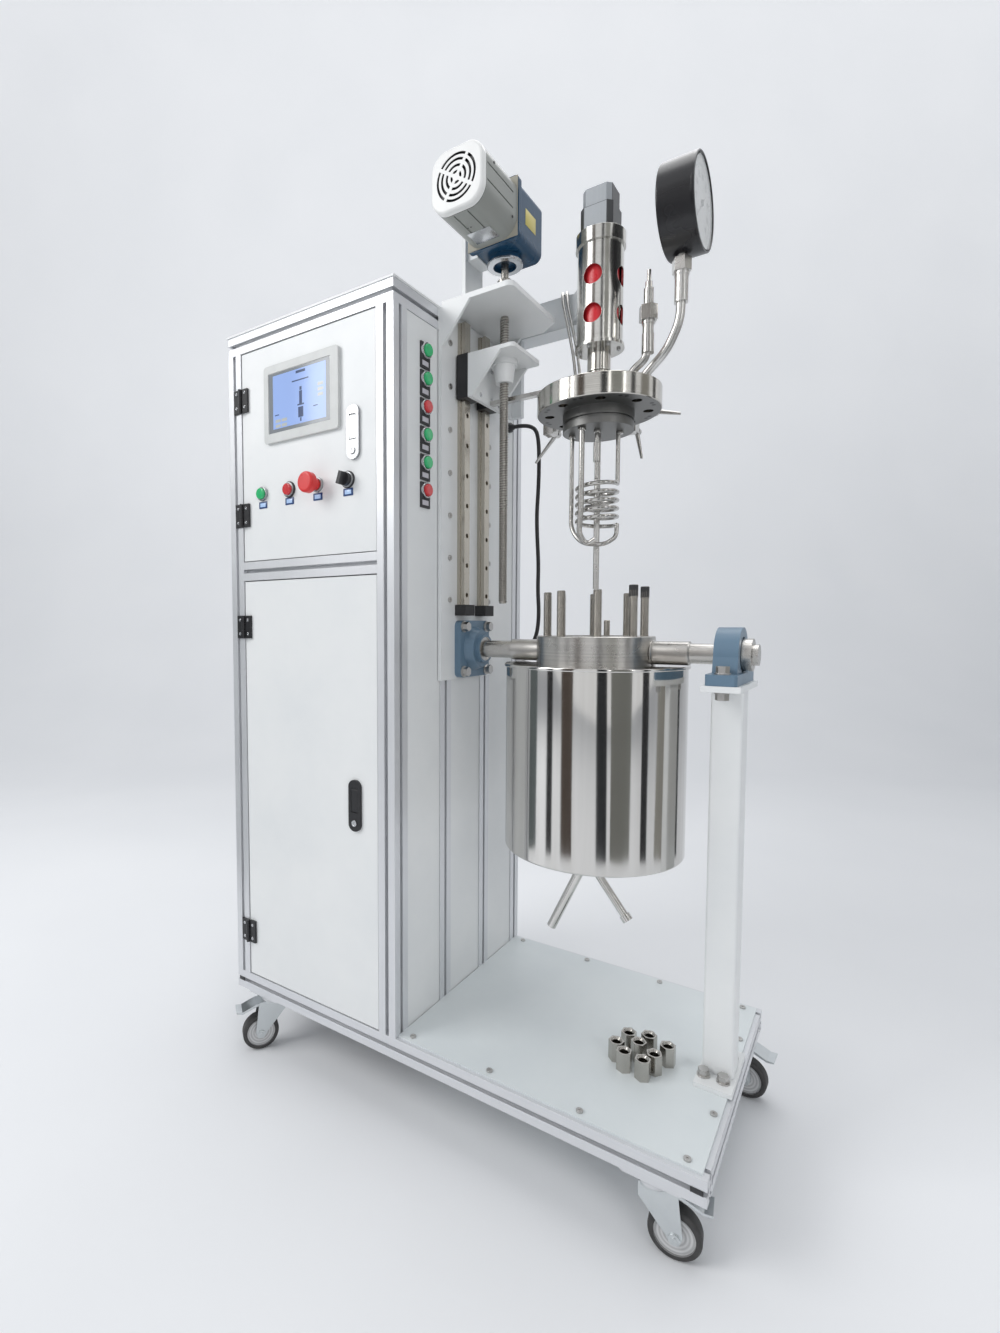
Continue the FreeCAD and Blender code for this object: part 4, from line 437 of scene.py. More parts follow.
def coat_ends(made, tree, colour, rough, peel=520.0, depth=0.00005):
    """Coat a material: orange peel, a slightly uneven gloss and soft edges."""
    coat = place_effect(tree, powder, {"Colour": colour, "Peel": peel})
    edge = rounded(tree, coat["Height"], depth)
    gloss = ramp(tree, coat["Cloud"], rough - 0.06, rough + 0.1)
    finish_ends(made, coat["Color"], gloss, edge)


def coated(name, colour, rough, *relief):
    """Powder coat or enamel of one colour."""
    made, tree = finish_for(name)
    coat_ends(made, tree, colour, rough, *relief)
    return made


WHITE = (0.80, 0.81, 0.805)
white_coat = coated("white_powder_coat", WHITE, 0.34)
dress(white_coat, "cabinet_panels", "lift_plate", "motor_plate", "carriage_bracket", "support_post")
door_coat, tree = finish_for("door_coat_and_hinges")
hinge = calc(tree, "LESS_THAN", coordinate(tree, "Y"), -0.2481)
hue = mixed(tree, hinge, WHITE, (0.016, 0.016, 0.018))
coat_ends(door_coat, tree, hue, 0.34)
dress(door_coat, "upper_door", "lower_door")
deck_coat = coated("deck_powder_coat", (0.72, 0.76, 0.765), 0.3)
dress(deck_coat, "deck")

# Casters: forks and top plates pressed from zinc plated sheet, black rubber tyres on light
# grey nylon centres with stepped rings.

about_axis, given, told = effect(
    "about_axis", [("Centre", "Vector", (0, 0, 0)), ("Axis", "Vector", (0, 0, 1))],
    [("Distance", "Float"), ("Along", "Float")])
place = object_place(about_axis)
arm = put(about_axis, "VectorMath", {0: place, 1: given["Centre"]}, operation="SUBTRACT").outputs[0]
side = put(about_axis, "VectorMath", {0: arm, 1: given["Axis"]}, operation="CROSS_PRODUCT").outputs[0]
far = put(about_axis, "VectorMath", {0: side}, operation="LENGTH").outputs["Value"]
deep = put(about_axis, "VectorMath", {0: arm, 1: given["Axis"]}, operation="DOT_PRODUCT").outputs["Value"]
feed(told, {"Distance": far, "Along": deep})

zinc_sheet = drawn_metal("zinc_plated_sheet", (0.74, 0.77, 0.78), (0.6, 0.63, 0.64), (60, 60, 60), 0.3,
                         0.00005)
WHEEL_TRAIL = 30
AXLE_HEIGHT = 39
CASTER_PLACES = {"front_left": (-420, -217.5, 236), "front_right": (420, -217.5, 8),
                 "rear_left": (-450, 217.5, 150), "rear_right": (450, 217.5, -4)}
for corner, (x, y, turn) in CASTER_PLACES.items():
    dress(zinc_sheet, "caster_fork_" + corner)
    ahead = Vector((math.cos(math.radians(turn)), math.sin(math.radians(turn)), 0))
    hub = Vector((x, y, AXLE_HEIGHT)) + ahead * WHEEL_TRAIL
    tyre, tree = finish_for("caster_wheel_" + corner)
    round_axle = place_effect(tree, about_axis, {"Centre": hub / 1000, "Axis": (-ahead.y, ahead.x, 0)})
    distance = round_axle["Distance"]
    rubber = ramp(tree, distance, start=0.0296, end=0.0302)
    rings = calc(tree, "MULTIPLY", distance, 1100.0)
    rings = calc(tree, "SINE", rings)
    ring_tone = ramp(tree, rings, 0.45, 0.66, start=-1.0)
    centre_tone = put(tree, "CombineColor", {"Red": ring_tone, "Green": ring_tone, "Blue": ring_tone})
    scuffed = noise(tree, object_place(tree), 90.0, 5.0)
    tread = mixed(tree, scuffed, (0.018, 0.018, 0.02), (0.075, 0.072, 0.07))
    tone = mixed(tree, rubber, centre_tone.outputs["Color"], tread)
    gloss = ramp(tree, rubber, 0.3, 0.62)
    edge = rounded(tree, scuffed, 0.0001)
    finish_ends(tyre, tone, gloss, edge)
    dress(tyre, "caster_wheel_" + corner)

# Door hinges and locks: black die-cast hinges screwed to post and door, a bright zinc swing
# handle on the upper door and a black one on the lower, each with a key barrel.

black_coat = coated("black_satin_coat", (0.016, 0.016, 0.018), 0.36, 420.0, 0.00008)
dress(black_coat, "door_hinges", "lower_lock", "lower_lock_paddle")
UP = (0, 0, 1)
DOWN = (0, 0, -1)
RIGHT = (1, 0, 0)
BACK = (0, 1, 0)
FRONT = (0, -1, 0)


def turned(profile, place, axis, steps=40):
    """A closed profile of (radius, height) points spun about an axis through a place, in millimetres."""
    front = Vector(axis).normalized()
    out = front.orthogonal().normalized()
    start = Vector(place) / 1000
    bpy.ops.mesh.primitive_circle_add(vertices=len(profile), radius=0.01, location=(0, 0, 0))
    made = bpy.context.object
    for vertex, (radius, height) in zip(made.data.vertices, profile):
        vertex.co = start + out * radius / 1000 + front * height / 1000
    edit_mode()
    bpy.ops.mesh.select_all(action="SELECT")
    bpy.ops.mesh.spin(steps=steps, angle=math.tau, center=start, axis=front)
    bpy.ops.mesh.select_all(action="SELECT")
    bpy.ops.mesh.remove_doubles(threshold=0.000004)
    bpy.ops.mesh.normals_make_consistent(inside=False)
    object_mode()
    bpy.ops.object.shade_smooth_by_angle(angle=math.radians(35))
    return made


def socket_screw(place, radius, axis):
    """A low screw head with a sunk drive."""
    low = radius * 0.45
    rim = [(0, 0), (radius, 0), (radius, 0.7), (radius - 0.5, 1.1), (low, 1.1), (low - 0.3, 0.3), (0, 0.3)]
    return turned(rim, place, axis, 20)


bright_zinc = drawn_metal("bright_zinc", (0.70, 0.71, 0.72), (0.50, 0.51, 0.53), (240, 240, 240), 0.22,
                          0.00002)
HINGE_HEIGHTS = {"upper": (1176, 1418), "lower": (264, 938)}
screws = [socket_screw((-471.5, -253, z + rise), 3.4, FRONT)
          for z in HINGE_HEIGHTS["upper"] + HINGE_HEIGHTS["lower"] for rise in (-15, 15)]
claim(joined(screws), "hinge_screws_fixed", "stand", "zinc_steel", bright_zinc)
for door, heights in HINGE_HEIGHTS.items():
    screws = [socket_screw((-446.5, -253, z + rise), 3.4, FRONT) for z in heights for rise in (-15, 15)]
    claim(joined(screws), door + "_hinge_screws", door + "_door", "zinc_steel", bright_zinc)

satin_zinc = drawn_metal("satin_zinc_lock", (0.52, 0.53, 0.54), (0.36, 0.37, 0.38), (300, 300, 30), 0.3,
                         0.00003)
dress(satin_zinc, "upper_lock_paddle", "upper_door_fittings")
for door, spot, made in (("upper", (-145, 1301), bright_zinc), ("lower", (-146, 595), black_coat)):
    x, z = spot
    barrel = turned([(0, 0), (6.2, 0), (6.2, 1), (5.6, 1.5), (4.2, 1.5), (3.9, 0.9), (0, 0.9)],
                    (x, -253.6, z - 34), FRONT)
    keyway = chamfered_block((x - 0.6, -255.4, z - 37), (x + 0.6, -254.2, z - 31), 0.1)
    claim(joined([barrel, keyway]), door + "_lock_barrel", door + "_door", "zinc_steel", bright_zinc)

# Operator screen: a moulded light grey bezel with a sunk glass, behind it a bluish page with a
# drawing of the machine and a few fields, none of them lettered.

bezel_plastic = grained_plastic("bezel_grey_plastic", (0.50, 0.51, 0.50), 0.4, 0.00006, 900.0)
dress(bezel_plastic, "operator_screen")
PAGE_LEFT, PAGE_RIGHT, PAGE_LOW, PAGE_HIGH = -368, -201, 1334, 1450
GLASS_FACE = -253.8


def lit(name, colour, glow=0.35):
    """A lit patch of the screen, with the faint rows of its dots."""
    made, tree = finish_for(name)
    place = object_place(tree)
    haze = noise(tree, place, 9.0, 1.0)
    dots = put(tree, "TexWave", {"Vector": place, "Scale": 900.0}, bands_direction="Z").outputs["Fac"]
    level = calc(tree, "MULTIPLY_ADD", dots, 0.05, haze)
    deep = [value * 0.82 for value in colour]
    tone = mixed(tree, level, deep, colour)
    feed_shader(made, {"Base Color": tone, "Emission Color": tone, "Emission Strength": glow,
                       "Roughness": 0.12})
    return made


def page_tile(low, high, lift, made):
    """A flat patch of the page between two corners (x, z), a hair in front of the last one."""
    tile = chamfered_block((low[0], GLASS_FACE - lift, low[1]), (high[0], GLASS_FACE + 0.1, high[1]), 0.03, 1)
    tile.data.materials.append(made)
    return tile


border = lit("screen_border", (0.22, 0.24, 0.26), 0.05)
page = lit("screen_page", (0.26, 0.38, 0.70), 0.3)
ink = lit("screen_ink", (0.04, 0.07, 0.17), 0.05)
field = lit("screen_field", (0.44, 0.46, 0.44), 0.2)
cyan = lit("screen_button", (0.36, 0.50, 0.72), 0.35)
tiles = [page_tile((PAGE_LEFT - 1, PAGE_LOW - 1), (PAGE_RIGHT + 1, PAGE_HIGH + 1), 0.10, border),
         page_tile((PAGE_LEFT + 11, PAGE_LOW + 6), (PAGE_RIGHT - 9, PAGE_HIGH - 4), 0.20, page)]
middle = -278
for low, high in (((-13, 1438), (13, 1443)), ((-24, 1423), (22, 1425.5)), ((-3, 1404), (3, 1411)),
                  ((-4, 1378), (4, 1403)), ((-9, 1375), (9, 1378)), ((-7, 1352), (7, 1372)),
                  ((-2, 1344), (2, 1351))):
    tiles.append(page_tile((middle + low[0], low[1]), (middle + high[0], high[1]), 0.28, ink))
for left, low in ((-350, 1352), (-350, 1342), (-332, 1352), (-332, 1342), (-232, 1403), (-232, 1393),
                  (-232, 1383)):
    tiles.append(page_tile((left, low), (left + 15, low + 6), 0.28, field))
for left in (-352, -244):
    tiles.append(page_tile((left, 1366), (left + 12, 1368), 0.28, ink))
claim(joined(tiles), "screen_page", "upper_door", "screen")

# Door controls: two illuminated push buttons, a mushroom stop button and a black selector in
# bright collars, each over a blue anodised label plate that is left blank.


def lens(name, colour, glow):
    """Coloured clear plastic over a diffuser, with fine rings pressed in its back."""
    made, tree = finish_for(name)
    place = object_place(tree)
    swirl = noise(tree, place, 120.0, 2.0)
    pale = [min(1.0, value * 1.35 + 0.02) for value in colour]
    tone = mixed(tree, swirl, colour, pale)
    facets = put(tree, "TexVoronoi", {"Vector": place, "Scale": 420.0}).outputs["Distance"]
    bump = put(tree, "Bump", {"Height": facets, "Strength": 0.35, "Distance": 0.0003})
    feed_shader(made, {"Base Color": tone, "Emission Color": tone, "Emission Strength": glow,
                       "Roughness": 0.18, "Coat Weight": 0.6, "Normal": bump.outputs["Normal"]})
    return made


green_lens = lens("green_lens", (0.012, 0.36, 0.12), 0.06)
red_lens = lens("red_lens", (0.46, 0.012, 0.018), 0.06)
stop_red = grained_plastic("stop_red_plastic", (0.56, 0.02, 0.02), 0.28, 0.00003)
dress(green_lens, "green_button")
dress(red_lens, "red_button")
dress(stop_red, "stop_button")
dress(black_grain, "selector_knob")
blue_plate = coated("blue_label_plate", (0.02, 0.06, 0.19), 0.32)
label_white = coated("blank_label", (0.58, 0.56, 0.60), 0.4)
CONTROL_X = (-397, -318, -239, -160)
CONTROL_Z = 1216
DOOR_FACE = -248
plates = [chamfered_block((x - 12, DOOR_FACE - 1.2, CONTROL_Z - 30),
                          (x + 12, DOOR_FACE + 0.2, CONTROL_Z - 16), 0.5) for x in CONTROL_X]
claim(joined(plates), "control_label_plates", "upper_door", "black_plastic", blue_plate)
# The blank labels take the screen's glowing blue: painted light, as the labels are no lamps.
blanks = [chamfered_block((x - 8, DOOR_FACE - 1.5, CONTROL_Z - 27),
                          (x + 8, DOOR_FACE - 0.9, CONTROL_Z - 19), 0.15) for x in CONTROL_X]
claim(joined(blanks), "control_labels", "upper_door", "black_plastic", cyan)

black_rings = [turned([(14.6, 0), (16.2, 0), (16.2, 2.6), (15.4, 3.6), (14.6, 3.6)],
                      (x, DOOR_FACE, CONTROL_Z), FRONT, 48) for x in CONTROL_X[1:2] + CONTROL_X[3:]]
claim(joined(black_rings), "control_black_rings", "upper_door", "black_plastic", black_grain)
tip = chamfered_block((-160.6, -261.6, 1222), (-159.4, -260.9, 1226), 0.1)
tip.data.materials.append(label_white)
claim(tip, "selector_pointer", "selector_knob", "black_plastic")

# Side buttons: six lit buttons in bright rings on black plates with a blank label window, set
# down the side panel between the corner post and the lift.

SIDE_FACE = -52
SIDE_Y = -152
SIDE_Z = [1459 - 52 * k for k in range(6)]
SIDE_LENSES = (green_lens, green_lens, red_lens, green_lens, green_lens, red_lens)
dress(black_grain, "side_button_plates")
rings = []
labels = []
for number, (z, glass) in enumerate(zip(SIDE_Z, SIDE_LENSES), 1):
    dress(glass, f"side_button_{number}")
    rings.append(turned([(11.9, 0), (14.9, 0), (14.9, 4.4), (14.1, 5.4), (12.6, 5.4), (11.9, 4.7)],
                        (SIDE_FACE + 3, SIDE_Y, z), RIGHT, 48))
    labels.append(chamfered_block((SIDE_FACE + 2.2, SIDE_Y - 10, z - 28),
                                  (SIDE_FACE + 2.9, SIDE_Y + 10, z - 18.5), 0.2))
claim(joined(rings), "side_button_rings", "stand", "black_plastic", bright_zinc)
claim(joined(labels), "side_button_labels", "stand", "black_plastic", label_white)

# Lift: hardened guide rails with counterbored screw holes, black bearing blocks and rubber
# stops, and the welded white carriage bracket that they carry, bolted through its back plate.

ground_steel = drawn_metal("ground_rail_steel", (0.66, 0.62, 0.54), (0.42, 0.39, 0.34), (800, 800, 5), 0.2,
                           0.00003)
dress(ground_steel, "guide_rails")
dress(black_coat, "guide_blocks")
stop_rubber = grained_plastic("stop_rubber", (0.014, 0.014, 0.015), 0.62, 0.0002, 500.0)
dress(stop_rubber, "rail_stops")
heads = [socket_screw((-4, y, z), 4.6, RIGHT)
         for ys, zs in (((-22, 22), (1406, 1464)), ((-52, 52), (1404, 1450))) for y in ys for z in zs]
claim(joined(heads), "carriage_screws", "lid_carriage", "zinc_steel", bright_zinc)
BLOCK_TOP = 1477.2
wipers = [chamfered_block((back, y + left, BLOCK_TOP), (-13.5, y + right, BLOCK_TOP + 2.3), 0.5)
          for y in (-40, 40) for back, left, right in ((-38, -19, -10.6), (-38, 10.6, 19), (-23.9, -11, 11))]
claim(joined(wipers), "block_wipers", "lid_carriage", "black_metal", stop_rubber)

# Lead screw: rolled trapezoidal thread, oiled steel, turned down at its top for the bearing
# and joined by a clamped sleeve to the gearbox shaft.


def threaded_metal(name, light, dark, root_shade, rough):
    """Rolled thread: drawn steel, darkened towards the roots of its grooves as painted shade."""
    made, tree = finish_for(name)
    grain = drawn(tree, light, dark, (300, 300, 60))
    groove = put(tree, "Attribute", attribute_name="groove").outputs["Fac"]
    # The colour darkens towards the thread's roots: painted shade in the grooves.
    groove_shade = ramp(tree, groove, high=0.93, start=0.1, end=0.8)
    tone = mixed(tree, groove_shade, grain["Color"], root_shade)
    gloss = ramp(tree, grain["Cloud"], rough - 0.05, rough + 0.1)
    edge = rounded(tree, grain["Height"], 0.00004)
    finish_ends(made, tone, gloss, edge, 0.9)
    return made


def thread(x, y, low, high, crest, depth, pitch, steps=20):
    """A trapezoidal thread on an upright axis, wound by a screw modifier, in millimetres."""
    bpy.ops.mesh.primitive_plane_add(size=1, location=(0, 0, 0))
    made = bpy.context.object
    flats = ((crest - depth, 0), (crest, 0.2), (crest, 0.5), (crest - depth, 0.7))
    for vertex, (radius, rise) in zip((made.data.vertices[i] for i in (0, 1, 3, 2)), flats):
        vertex.co = (radius / 1000, 0, rise * pitch / 1000)
    edit_mode()
    bpy.ops.mesh.select_mode(type="EDGE")
    bpy.ops.mesh.select_all(action="DESELECT")
    object_mode()
    for edge in made.data.edges:
        edge.select = all(v in (0, 2) for v in edge.vertices)
    edit_mode()
    bpy.ops.mesh.delete(type="EDGE_FACE")
    bpy.ops.mesh.select_all(action="DESELECT")
    bpy.ops.mesh.select_mode(type="VERT")
    object_mode()
    top = made.data.vertices[2]
    top.select = True
    edit_mode()
    bpy.ops.mesh.extrude_region_move(TRANSFORM_OT_translate={"value": (0, 0, 0.3 * pitch / 1000)})
    object_mode()
    wind = made.modifiers.new("wind", "SCREW")
    wind.axis = "Z"
    wind.screw_offset = pitch / 1000
    wind.iterations = round((high - low) / pitch)
    wind.steps = steps
    wind.render_steps = steps
    wind.use_merge_vertices = True
    wind.merge_threshold = 0.00001
    wind.use_normal_calculate = True
    bpy.ops.object.modifier_apply(modifier="wind")
    edit_mode()
    bpy.ops.mesh.select_all(action="SELECT")
    bpy.ops.mesh.remove_doubles(threshold=0.00001)
    bpy.ops.mesh.normals_make_consistent(inside=False)
    object_mode()
    bpy.ops.object.shade_smooth_by_angle(angle=math.radians(30))
    # The groove attribute is the depth into the thread, which the threaded materials darken as painted shade.
    groove = made.data.attributes.new("groove", "FLOAT", "POINT")
    for vertex, level in zip(made.data.vertices, groove.data):
        level.value = min(1.0, max(0.0, (crest / 1000 - vertex.co.xy.length) / (depth / 1000)))
    made.location = (x / 1000, y / 1000, low / 1000)
    return settle(made)


SCREW_X = 37
# The near-black root colour is painted shade in the thread's grooves.
screw_steel = threaded_metal("lead_screw_steel", (0.62, 0.60, 0.56), (0.36, 0.34, 0.31), (0.045, 0.04, 0.035),
                             0.24)
winding = thread(SCREW_X, 0, 988, 1548, 9.0, 1.5, 5.0)
core = turned([(0, 986), (6.4, 986), (7.5, 987.4), (7.5, 1549.6), (0, 1549.6)], (SCREW_X, 0, 0), UP, 32)
journal = turned([(0, 1549), (9, 1549), (9, 1551), (7.5, 1552), (7.5, 1581), (14, 1581), (15, 1582),
                  (15, 1600), (14.2, 1601.5), (14.2, 1604.5), (15, 1606), (15, 1624), (14, 1625),
                  (7.5, 1625), (7.5, 1685), (0, 1685)], (SCREW_X, 0, 0), UP, 40)
wound = joined([winding, core, journal])
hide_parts("lead_screw")
claim(wound, "threaded_lead_screw", "lead_screw", "stainless", screw_steel)

# Lift drive: a light grey gear motor with its ribbed barrel and vented end, on a blue enamelled
# right-angle gearbox with a corner-bolted flange and a paper gasket.

GEAR_X = 41
GEAR_Z = 1721
MOTOR_END = -189
motor_grey, tree = finish_for("motor_body_and_cap")
depth = coordinate(tree, "Y")
cap = calc(tree, "LESS_THAN", depth, (MOTOR_END + 13) / 1000)
seam = calc(tree, "COMPARE", depth, (MOTOR_END + 13.4) / 1000, 0.0005)
off_axis = place_effect(tree, about_axis, {"Centre": (GEAR_X / 1000, 0, GEAR_Z / 1000), "Axis": BACK})
# The sunk vent area within 42 mm of the motor axis is painted near black: painted shade in the recess.
near = calc(tree, "LESS_THAN", off_axis["Distance"], 0.042)
sunk = calc(tree, "GREATER_THAN", depth, (MOTOR_END + 0.8) / 1000)
vent_shade = calc(tree, "MULTIPLY", near, sunk)
dark = calc(tree, "MAXIMUM", vent_shade, seam)
hue = mixed(tree, cap, (0.29, 0.30, 0.28), (0.84, 0.84, 0.82))
hue = mixed(tree, dark, hue, (0.015, 0.015, 0.016))
coat_ends(motor_grey, tree, hue, 0.34, 260.0, 0.0001)
dress(motor_grey, "gear_motor")
blue_enamel = coated("gearbox_blue_enamel", (0.010, 0.055, 0.115), 0.24, 90.0, 0.0004)
dress(blue_enamel, "gearbox")
plate = chamfered_block((GEAR_X - 24, -112, GEAR_Z - 53.6), (GEAR_X + 24, -74, GEAR_Z - 52.9), 0.3)
claim(plate, "motor_rating_plate", "stand", "grey_casting", bright_zinc)
case_screws = []
for x in (-12, -6):
    spot = (GEAR_X + x, -128, GEAR_Z - 52.8)
    case_screws.append(turned([(0, 0), (1.6, 0), (1.4, 0.5), (0, 0.5)], spot, DOWN, 14))
for y, z in ((-148, 26), (-78, -30)):
    spot = (GEAR_X + 52.8, y, GEAR_Z + z)
    case_screws.append(turned([(0, 0), (2.6, 0), (2.2, 0.8), (0, 0.8)], spot, RIGHT, 16))
claim(joined(case_screws), "motor_case_screws", "stand", "black_plastic", black_grain)
gasket = chamfered_block((GEAR_X - 54, -60.6, GEAR_Z - 54), (GEAR_X + 54, -58.4, GEAR_Z + 54), 0.8)
claim(gasket, "flange_gasket", "stand", "blue_casting", coated("gasket_paper", (0.36, 0.34, 0.28), 0.55))
flange_heads = [socket_screw((GEAR_X + dx, -49, GEAR_Z + dz), 4.2, BACK)
                for dx in (-49, 49) for dz in (-49, 49)]
for k in range(8):
    turn = math.tau * (k + 0.5) / 8
    spot = (GEAR_X + 39 * math.cos(turn), 57.8, GEAR_Z + 39 * math.sin(turn))
    flange_heads.append(socket_screw(spot, 3.4, BACK))
claim(joined(flange_heads), "gearbox_screws", "stand", "zinc_steel", bright_zinc)
yellow = coated("blank_yellow_label", (0.66, 0.56, 0.18), 0.4)
tag = chamfered_block((GEAR_X + 51, -22, GEAR_Z - 16), (GEAR_X + 51.4, 22, GEAR_Z + 14), 0.15)
claim(tag, "gearbox_label", "stand", "blue_casting", yellow)
ring = turned([(23, 0), (34, 0), (35.5, 1.5), (35.5, 5), (34, 6), (23, 6)], (SCREW_X, 0, 1651.4), UP, 56)
claim(ring, "output_ring", "stand", "stainless", bright_zinc)

# Boom and arm: the welded beam that carries the lid is coated light grey. A black strip along its top edge is
# painted shade, standing for the shadowed gap there.

boom_grey = coated("boom_grey_coat", (0.70, 0.72, 0.73), 0.3)
dress(boom_grey, "lift_boom")
# Black strip on the boom's top edge: painted shade of the gap.
boom_gap_shade = chamfered_block((-6, 118, 1618.6), (124, 156, 1620.2), 0.5)
claim(boom_gap_shade, "boom_top_gap_shade", "lid_carriage", "black_plastic", black_grain)

# Lid and drive: the lid is turned from stainless bar, its rim polished and its flat faces left
# from the tool, drilled for the studs. The drum above it is polished, with a windowed wall.

VESSEL_X = 233
VESSEL_AXIS = (VESSEL_X / 1000, 0, 0)
SPIGOT_BOTTOM = 1297
LID_BOTTOM = 1330
LID_TOP = 1368
DRUM_BOTTOM = 1444
DRUM_TOP = 1622

turned_lines, given, told = effect(
    "turned_lines",
    [("Centre", "Vector", (0, 0, 0)), ("Axis", "Vector", UP), ("Fine", "Float", 900.0),
     ("Light", "Color", (0.7, 0.7, 0.7)), ("Dark", "Color", (0.5, 0.5, 0.5))],
    [("Color", "Color"), ("Height", "Float"), ("Cloud", "Float")])
round_it = place_effect(turned_lines, about_axis, {"Centre": given["Centre"], "Axis": given["Axis"]})
flat = put(turned_lines, "CombineXYZ", {"X": round_it["Distance"], "Y": round_it["Along"], "Z": 0.0})
tight = put(turned_lines, "VectorMath", {0: flat.outputs[0], "Scale": given["Fine"]},
            operation="SCALE").outputs[0]
tool_mark = noise(turned_lines, tight, 1.0, 2.0)
place = object_place(turned_lines)
haze = noise(turned_lines, place, 14.0, 4.0)
both = calc(turned_lines, "ADD", tool_mark, haze)
level = ramp(turned_lines, both, start=0.7, end=1.3)
shade = mixed(turned_lines, level, given["Dark"], given["Light"])
feed(told, {"Color": shade, "Height": tool_mark, "Cloud": haze})


def turned_metal(name, light, dark, rough, fine=900.0):
    """Steel turned on a lathe: rings round the vessel's axis, a faint haze and rounded edges."""
    made, tree = finish_for(name)
    marks = place_effect(tree, turned_lines, {"Light": light, "Dark": dark, "Fine": fine,
                                              "Centre": VESSEL_AXIS})
    edge = rounded(tree, marks["Height"], 0.00004)
    gloss = ramp(tree, marks["Cloud"], rough - 0.05, rough + 0.08)
    finish_ends(made, marks["Color"], gloss, edge, 1.0)
    return made


bright_turned = turned_metal("bright_turned_steel", (0.70, 0.69, 0.66), (0.50, 0.49, 0.46), 0.15)
dress(bright_turned, "drive_housing")
lid_steel, tree = finish_for("lid_steel")
# The underside is painted dark grey: painted shade on the face turned down from the lamps. It is also
# rougher.
underside_shade = calc(tree, "LESS_THAN", coordinate(tree, "Z"), (LID_BOTTOM + 0.2) / 1000)
marks = place_effect(tree, turned_lines, {"Centre": VESSEL_AXIS, "Light": (0.68, 0.66, 0.62),
                                          "Dark": (0.48, 0.465, 0.43)})
tone = mixed(tree, underside_shade, marks["Color"], (0.20, 0.20, 0.195))
gloss = ramp(tree, underside_shade, 0.14, 0.42)
edge = rounded(tree, marks["Height"], 0.00004)
finish_ends(lid_steel, tone, gloss, edge, 1.0)
dress(lid_steel, "lid")


def round_vessel(radius, turn, height):
    """A place round the vessel's axis, in millimetres."""
    return VESSEL_X + radius * math.cos(turn), radius * math.sin(turn), height


# Black discs under the lid where its blind holes are: painted shade standing for the dark insides of the
# holes.
hole_shade_discs = []
for k in range(8):
    for shift in (-5, 5):
        turn = math.tau * k / 8 + shift / 84
        spot = round_vessel(99, turn, LID_BOTTOM - 0.2)
        hole_shade_discs.append(turned([(0, 0), (3.5, 0), (3.7, 0.3), (0, 0.3)], spot, UP, 16))
claim(joined(hole_shade_discs), "lid_hole_shade_discs", "lid_carriage", "black_metal", black_coat)
foot_screws = []
for k in range(6):
    spot = round_vessel(34, math.tau * (k + 0.3) / 6, DRUM_BOTTOM)
    foot_screws.append(turned([(0, 0), (3.6, 0), (3.6, 3), (3, 3.6), (1.7, 3.6), (1.4, 1.8), (0, 1.8)],
                              spot, DOWN, 18))
for k in range(4):
    spot = round_vessel(37.5, math.tau * (k + 0.5) / 4, DRUM_TOP + 22.8)
    foot_screws.append(turned([(0, 0), (2.8, 0), (2.8, 2), (2.3, 2.5), (1.3, 2.5), (1.1, 1.0), (0, 1.0)],
                              spot, UP, 18))
claim(joined(foot_screws), "drum_screws", "lid_carriage", "stainless", bright_zinc)
for_neck = turned([(21.2, 0), (21.9, 0.4), (21.9, 3.2), (21.2, 3.6)], (VESSEL_X, 0, LID_TOP + 36), UP, 56)
for_lid = turned([(110.8, 0), (111.0, 0.3), (111.0, 0.9), (110.8, 1.2)], (VESSEL_X, 0, LID_TOP - 6), UP, 120)
claim(joined([for_neck, for_lid]), "neck_and_rim_beads", "lid_carriage", "polished_steel", bright_turned)

motor_silver, tree = finish_for("drive_motor_case")
place = object_place(tree)
corner = put(tree, "VectorMath", {0: place, 1: VESSEL_AXIS}, operation="SUBTRACT").outputs[0]
positive = put(tree, "VectorMath", {0: corner}, operation="ABSOLUTE").outputs[0]
parts = put(tree, "SeparateXYZ", {0: positive}).outputs
spread = calc(tree, "ADD", parts["X"], parts["Y"])
dark_corner = ramp(tree, spread, start=0.0500, end=0.0506)
right = put(tree, "SeparateXYZ", {0: corner}).outputs["X"]
right = ramp(tree, right, start=0.0262, end=0.0268)
dark_corner = calc(tree, "MAXIMUM", dark_corner, right)
seam = calc(tree, "COMPARE", coordinate(tree, "Z"), 1.689, 0.0007)
dark = calc(tree, "MAXIMUM", dark_corner, seam)
scratched = drawn(tree, (0.36, 0.38, 0.40), (0.28, 0.3, 0.32), (500, 500, 10))
tone = mixed(tree, dark, scratched["Color"], (0.05, 0.052, 0.055))
gloss = ramp(tree, scratched["Cloud"], 0.24, 0.4)
edge = rounded(tree, scratched["Height"], 0.00003)
finish_ends(motor_silver, tone, gloss, edge, 0.35)
dress(motor_silver, "drive_motor")

# Stirrer: a red coated magnet rotor, seen through the drum's windows, on a ground steel shaft
# that runs down through the lid's neck to the impeller.

rotor_red, tree = finish_for("rotor_and_shaft")
place = object_place(tree)
up_there = calc(tree, "GREATER_THAN", coordinate(tree, "Z"), 1.456)
marks = place_effect(tree, turned_lines, {"Centre": VESSEL_AXIS, "Axis": UP,
                                          "Light": (0.72, 0.71, 0.69), "Dark": (0.5, 0.49, 0.48)})
cloud = noise(tree, place, 35.0, 3.0)
red = mixed(tree, cloud, (0.55, 0.012, 0.02), (0.75, 0.04, 0.05))
tone = mixed(tree, up_there, marks["Color"], red)
bare = calc(tree, "SUBTRACT", 1.0, up_there)
edge = rounded(tree, marks["Height"], 0.00004)
gloss = ramp(tree, cloud, 0.2, 0.36)
finish_ends(rotor_red, tone, gloss, edge, bare)
dress(rotor_red, "stirrer")

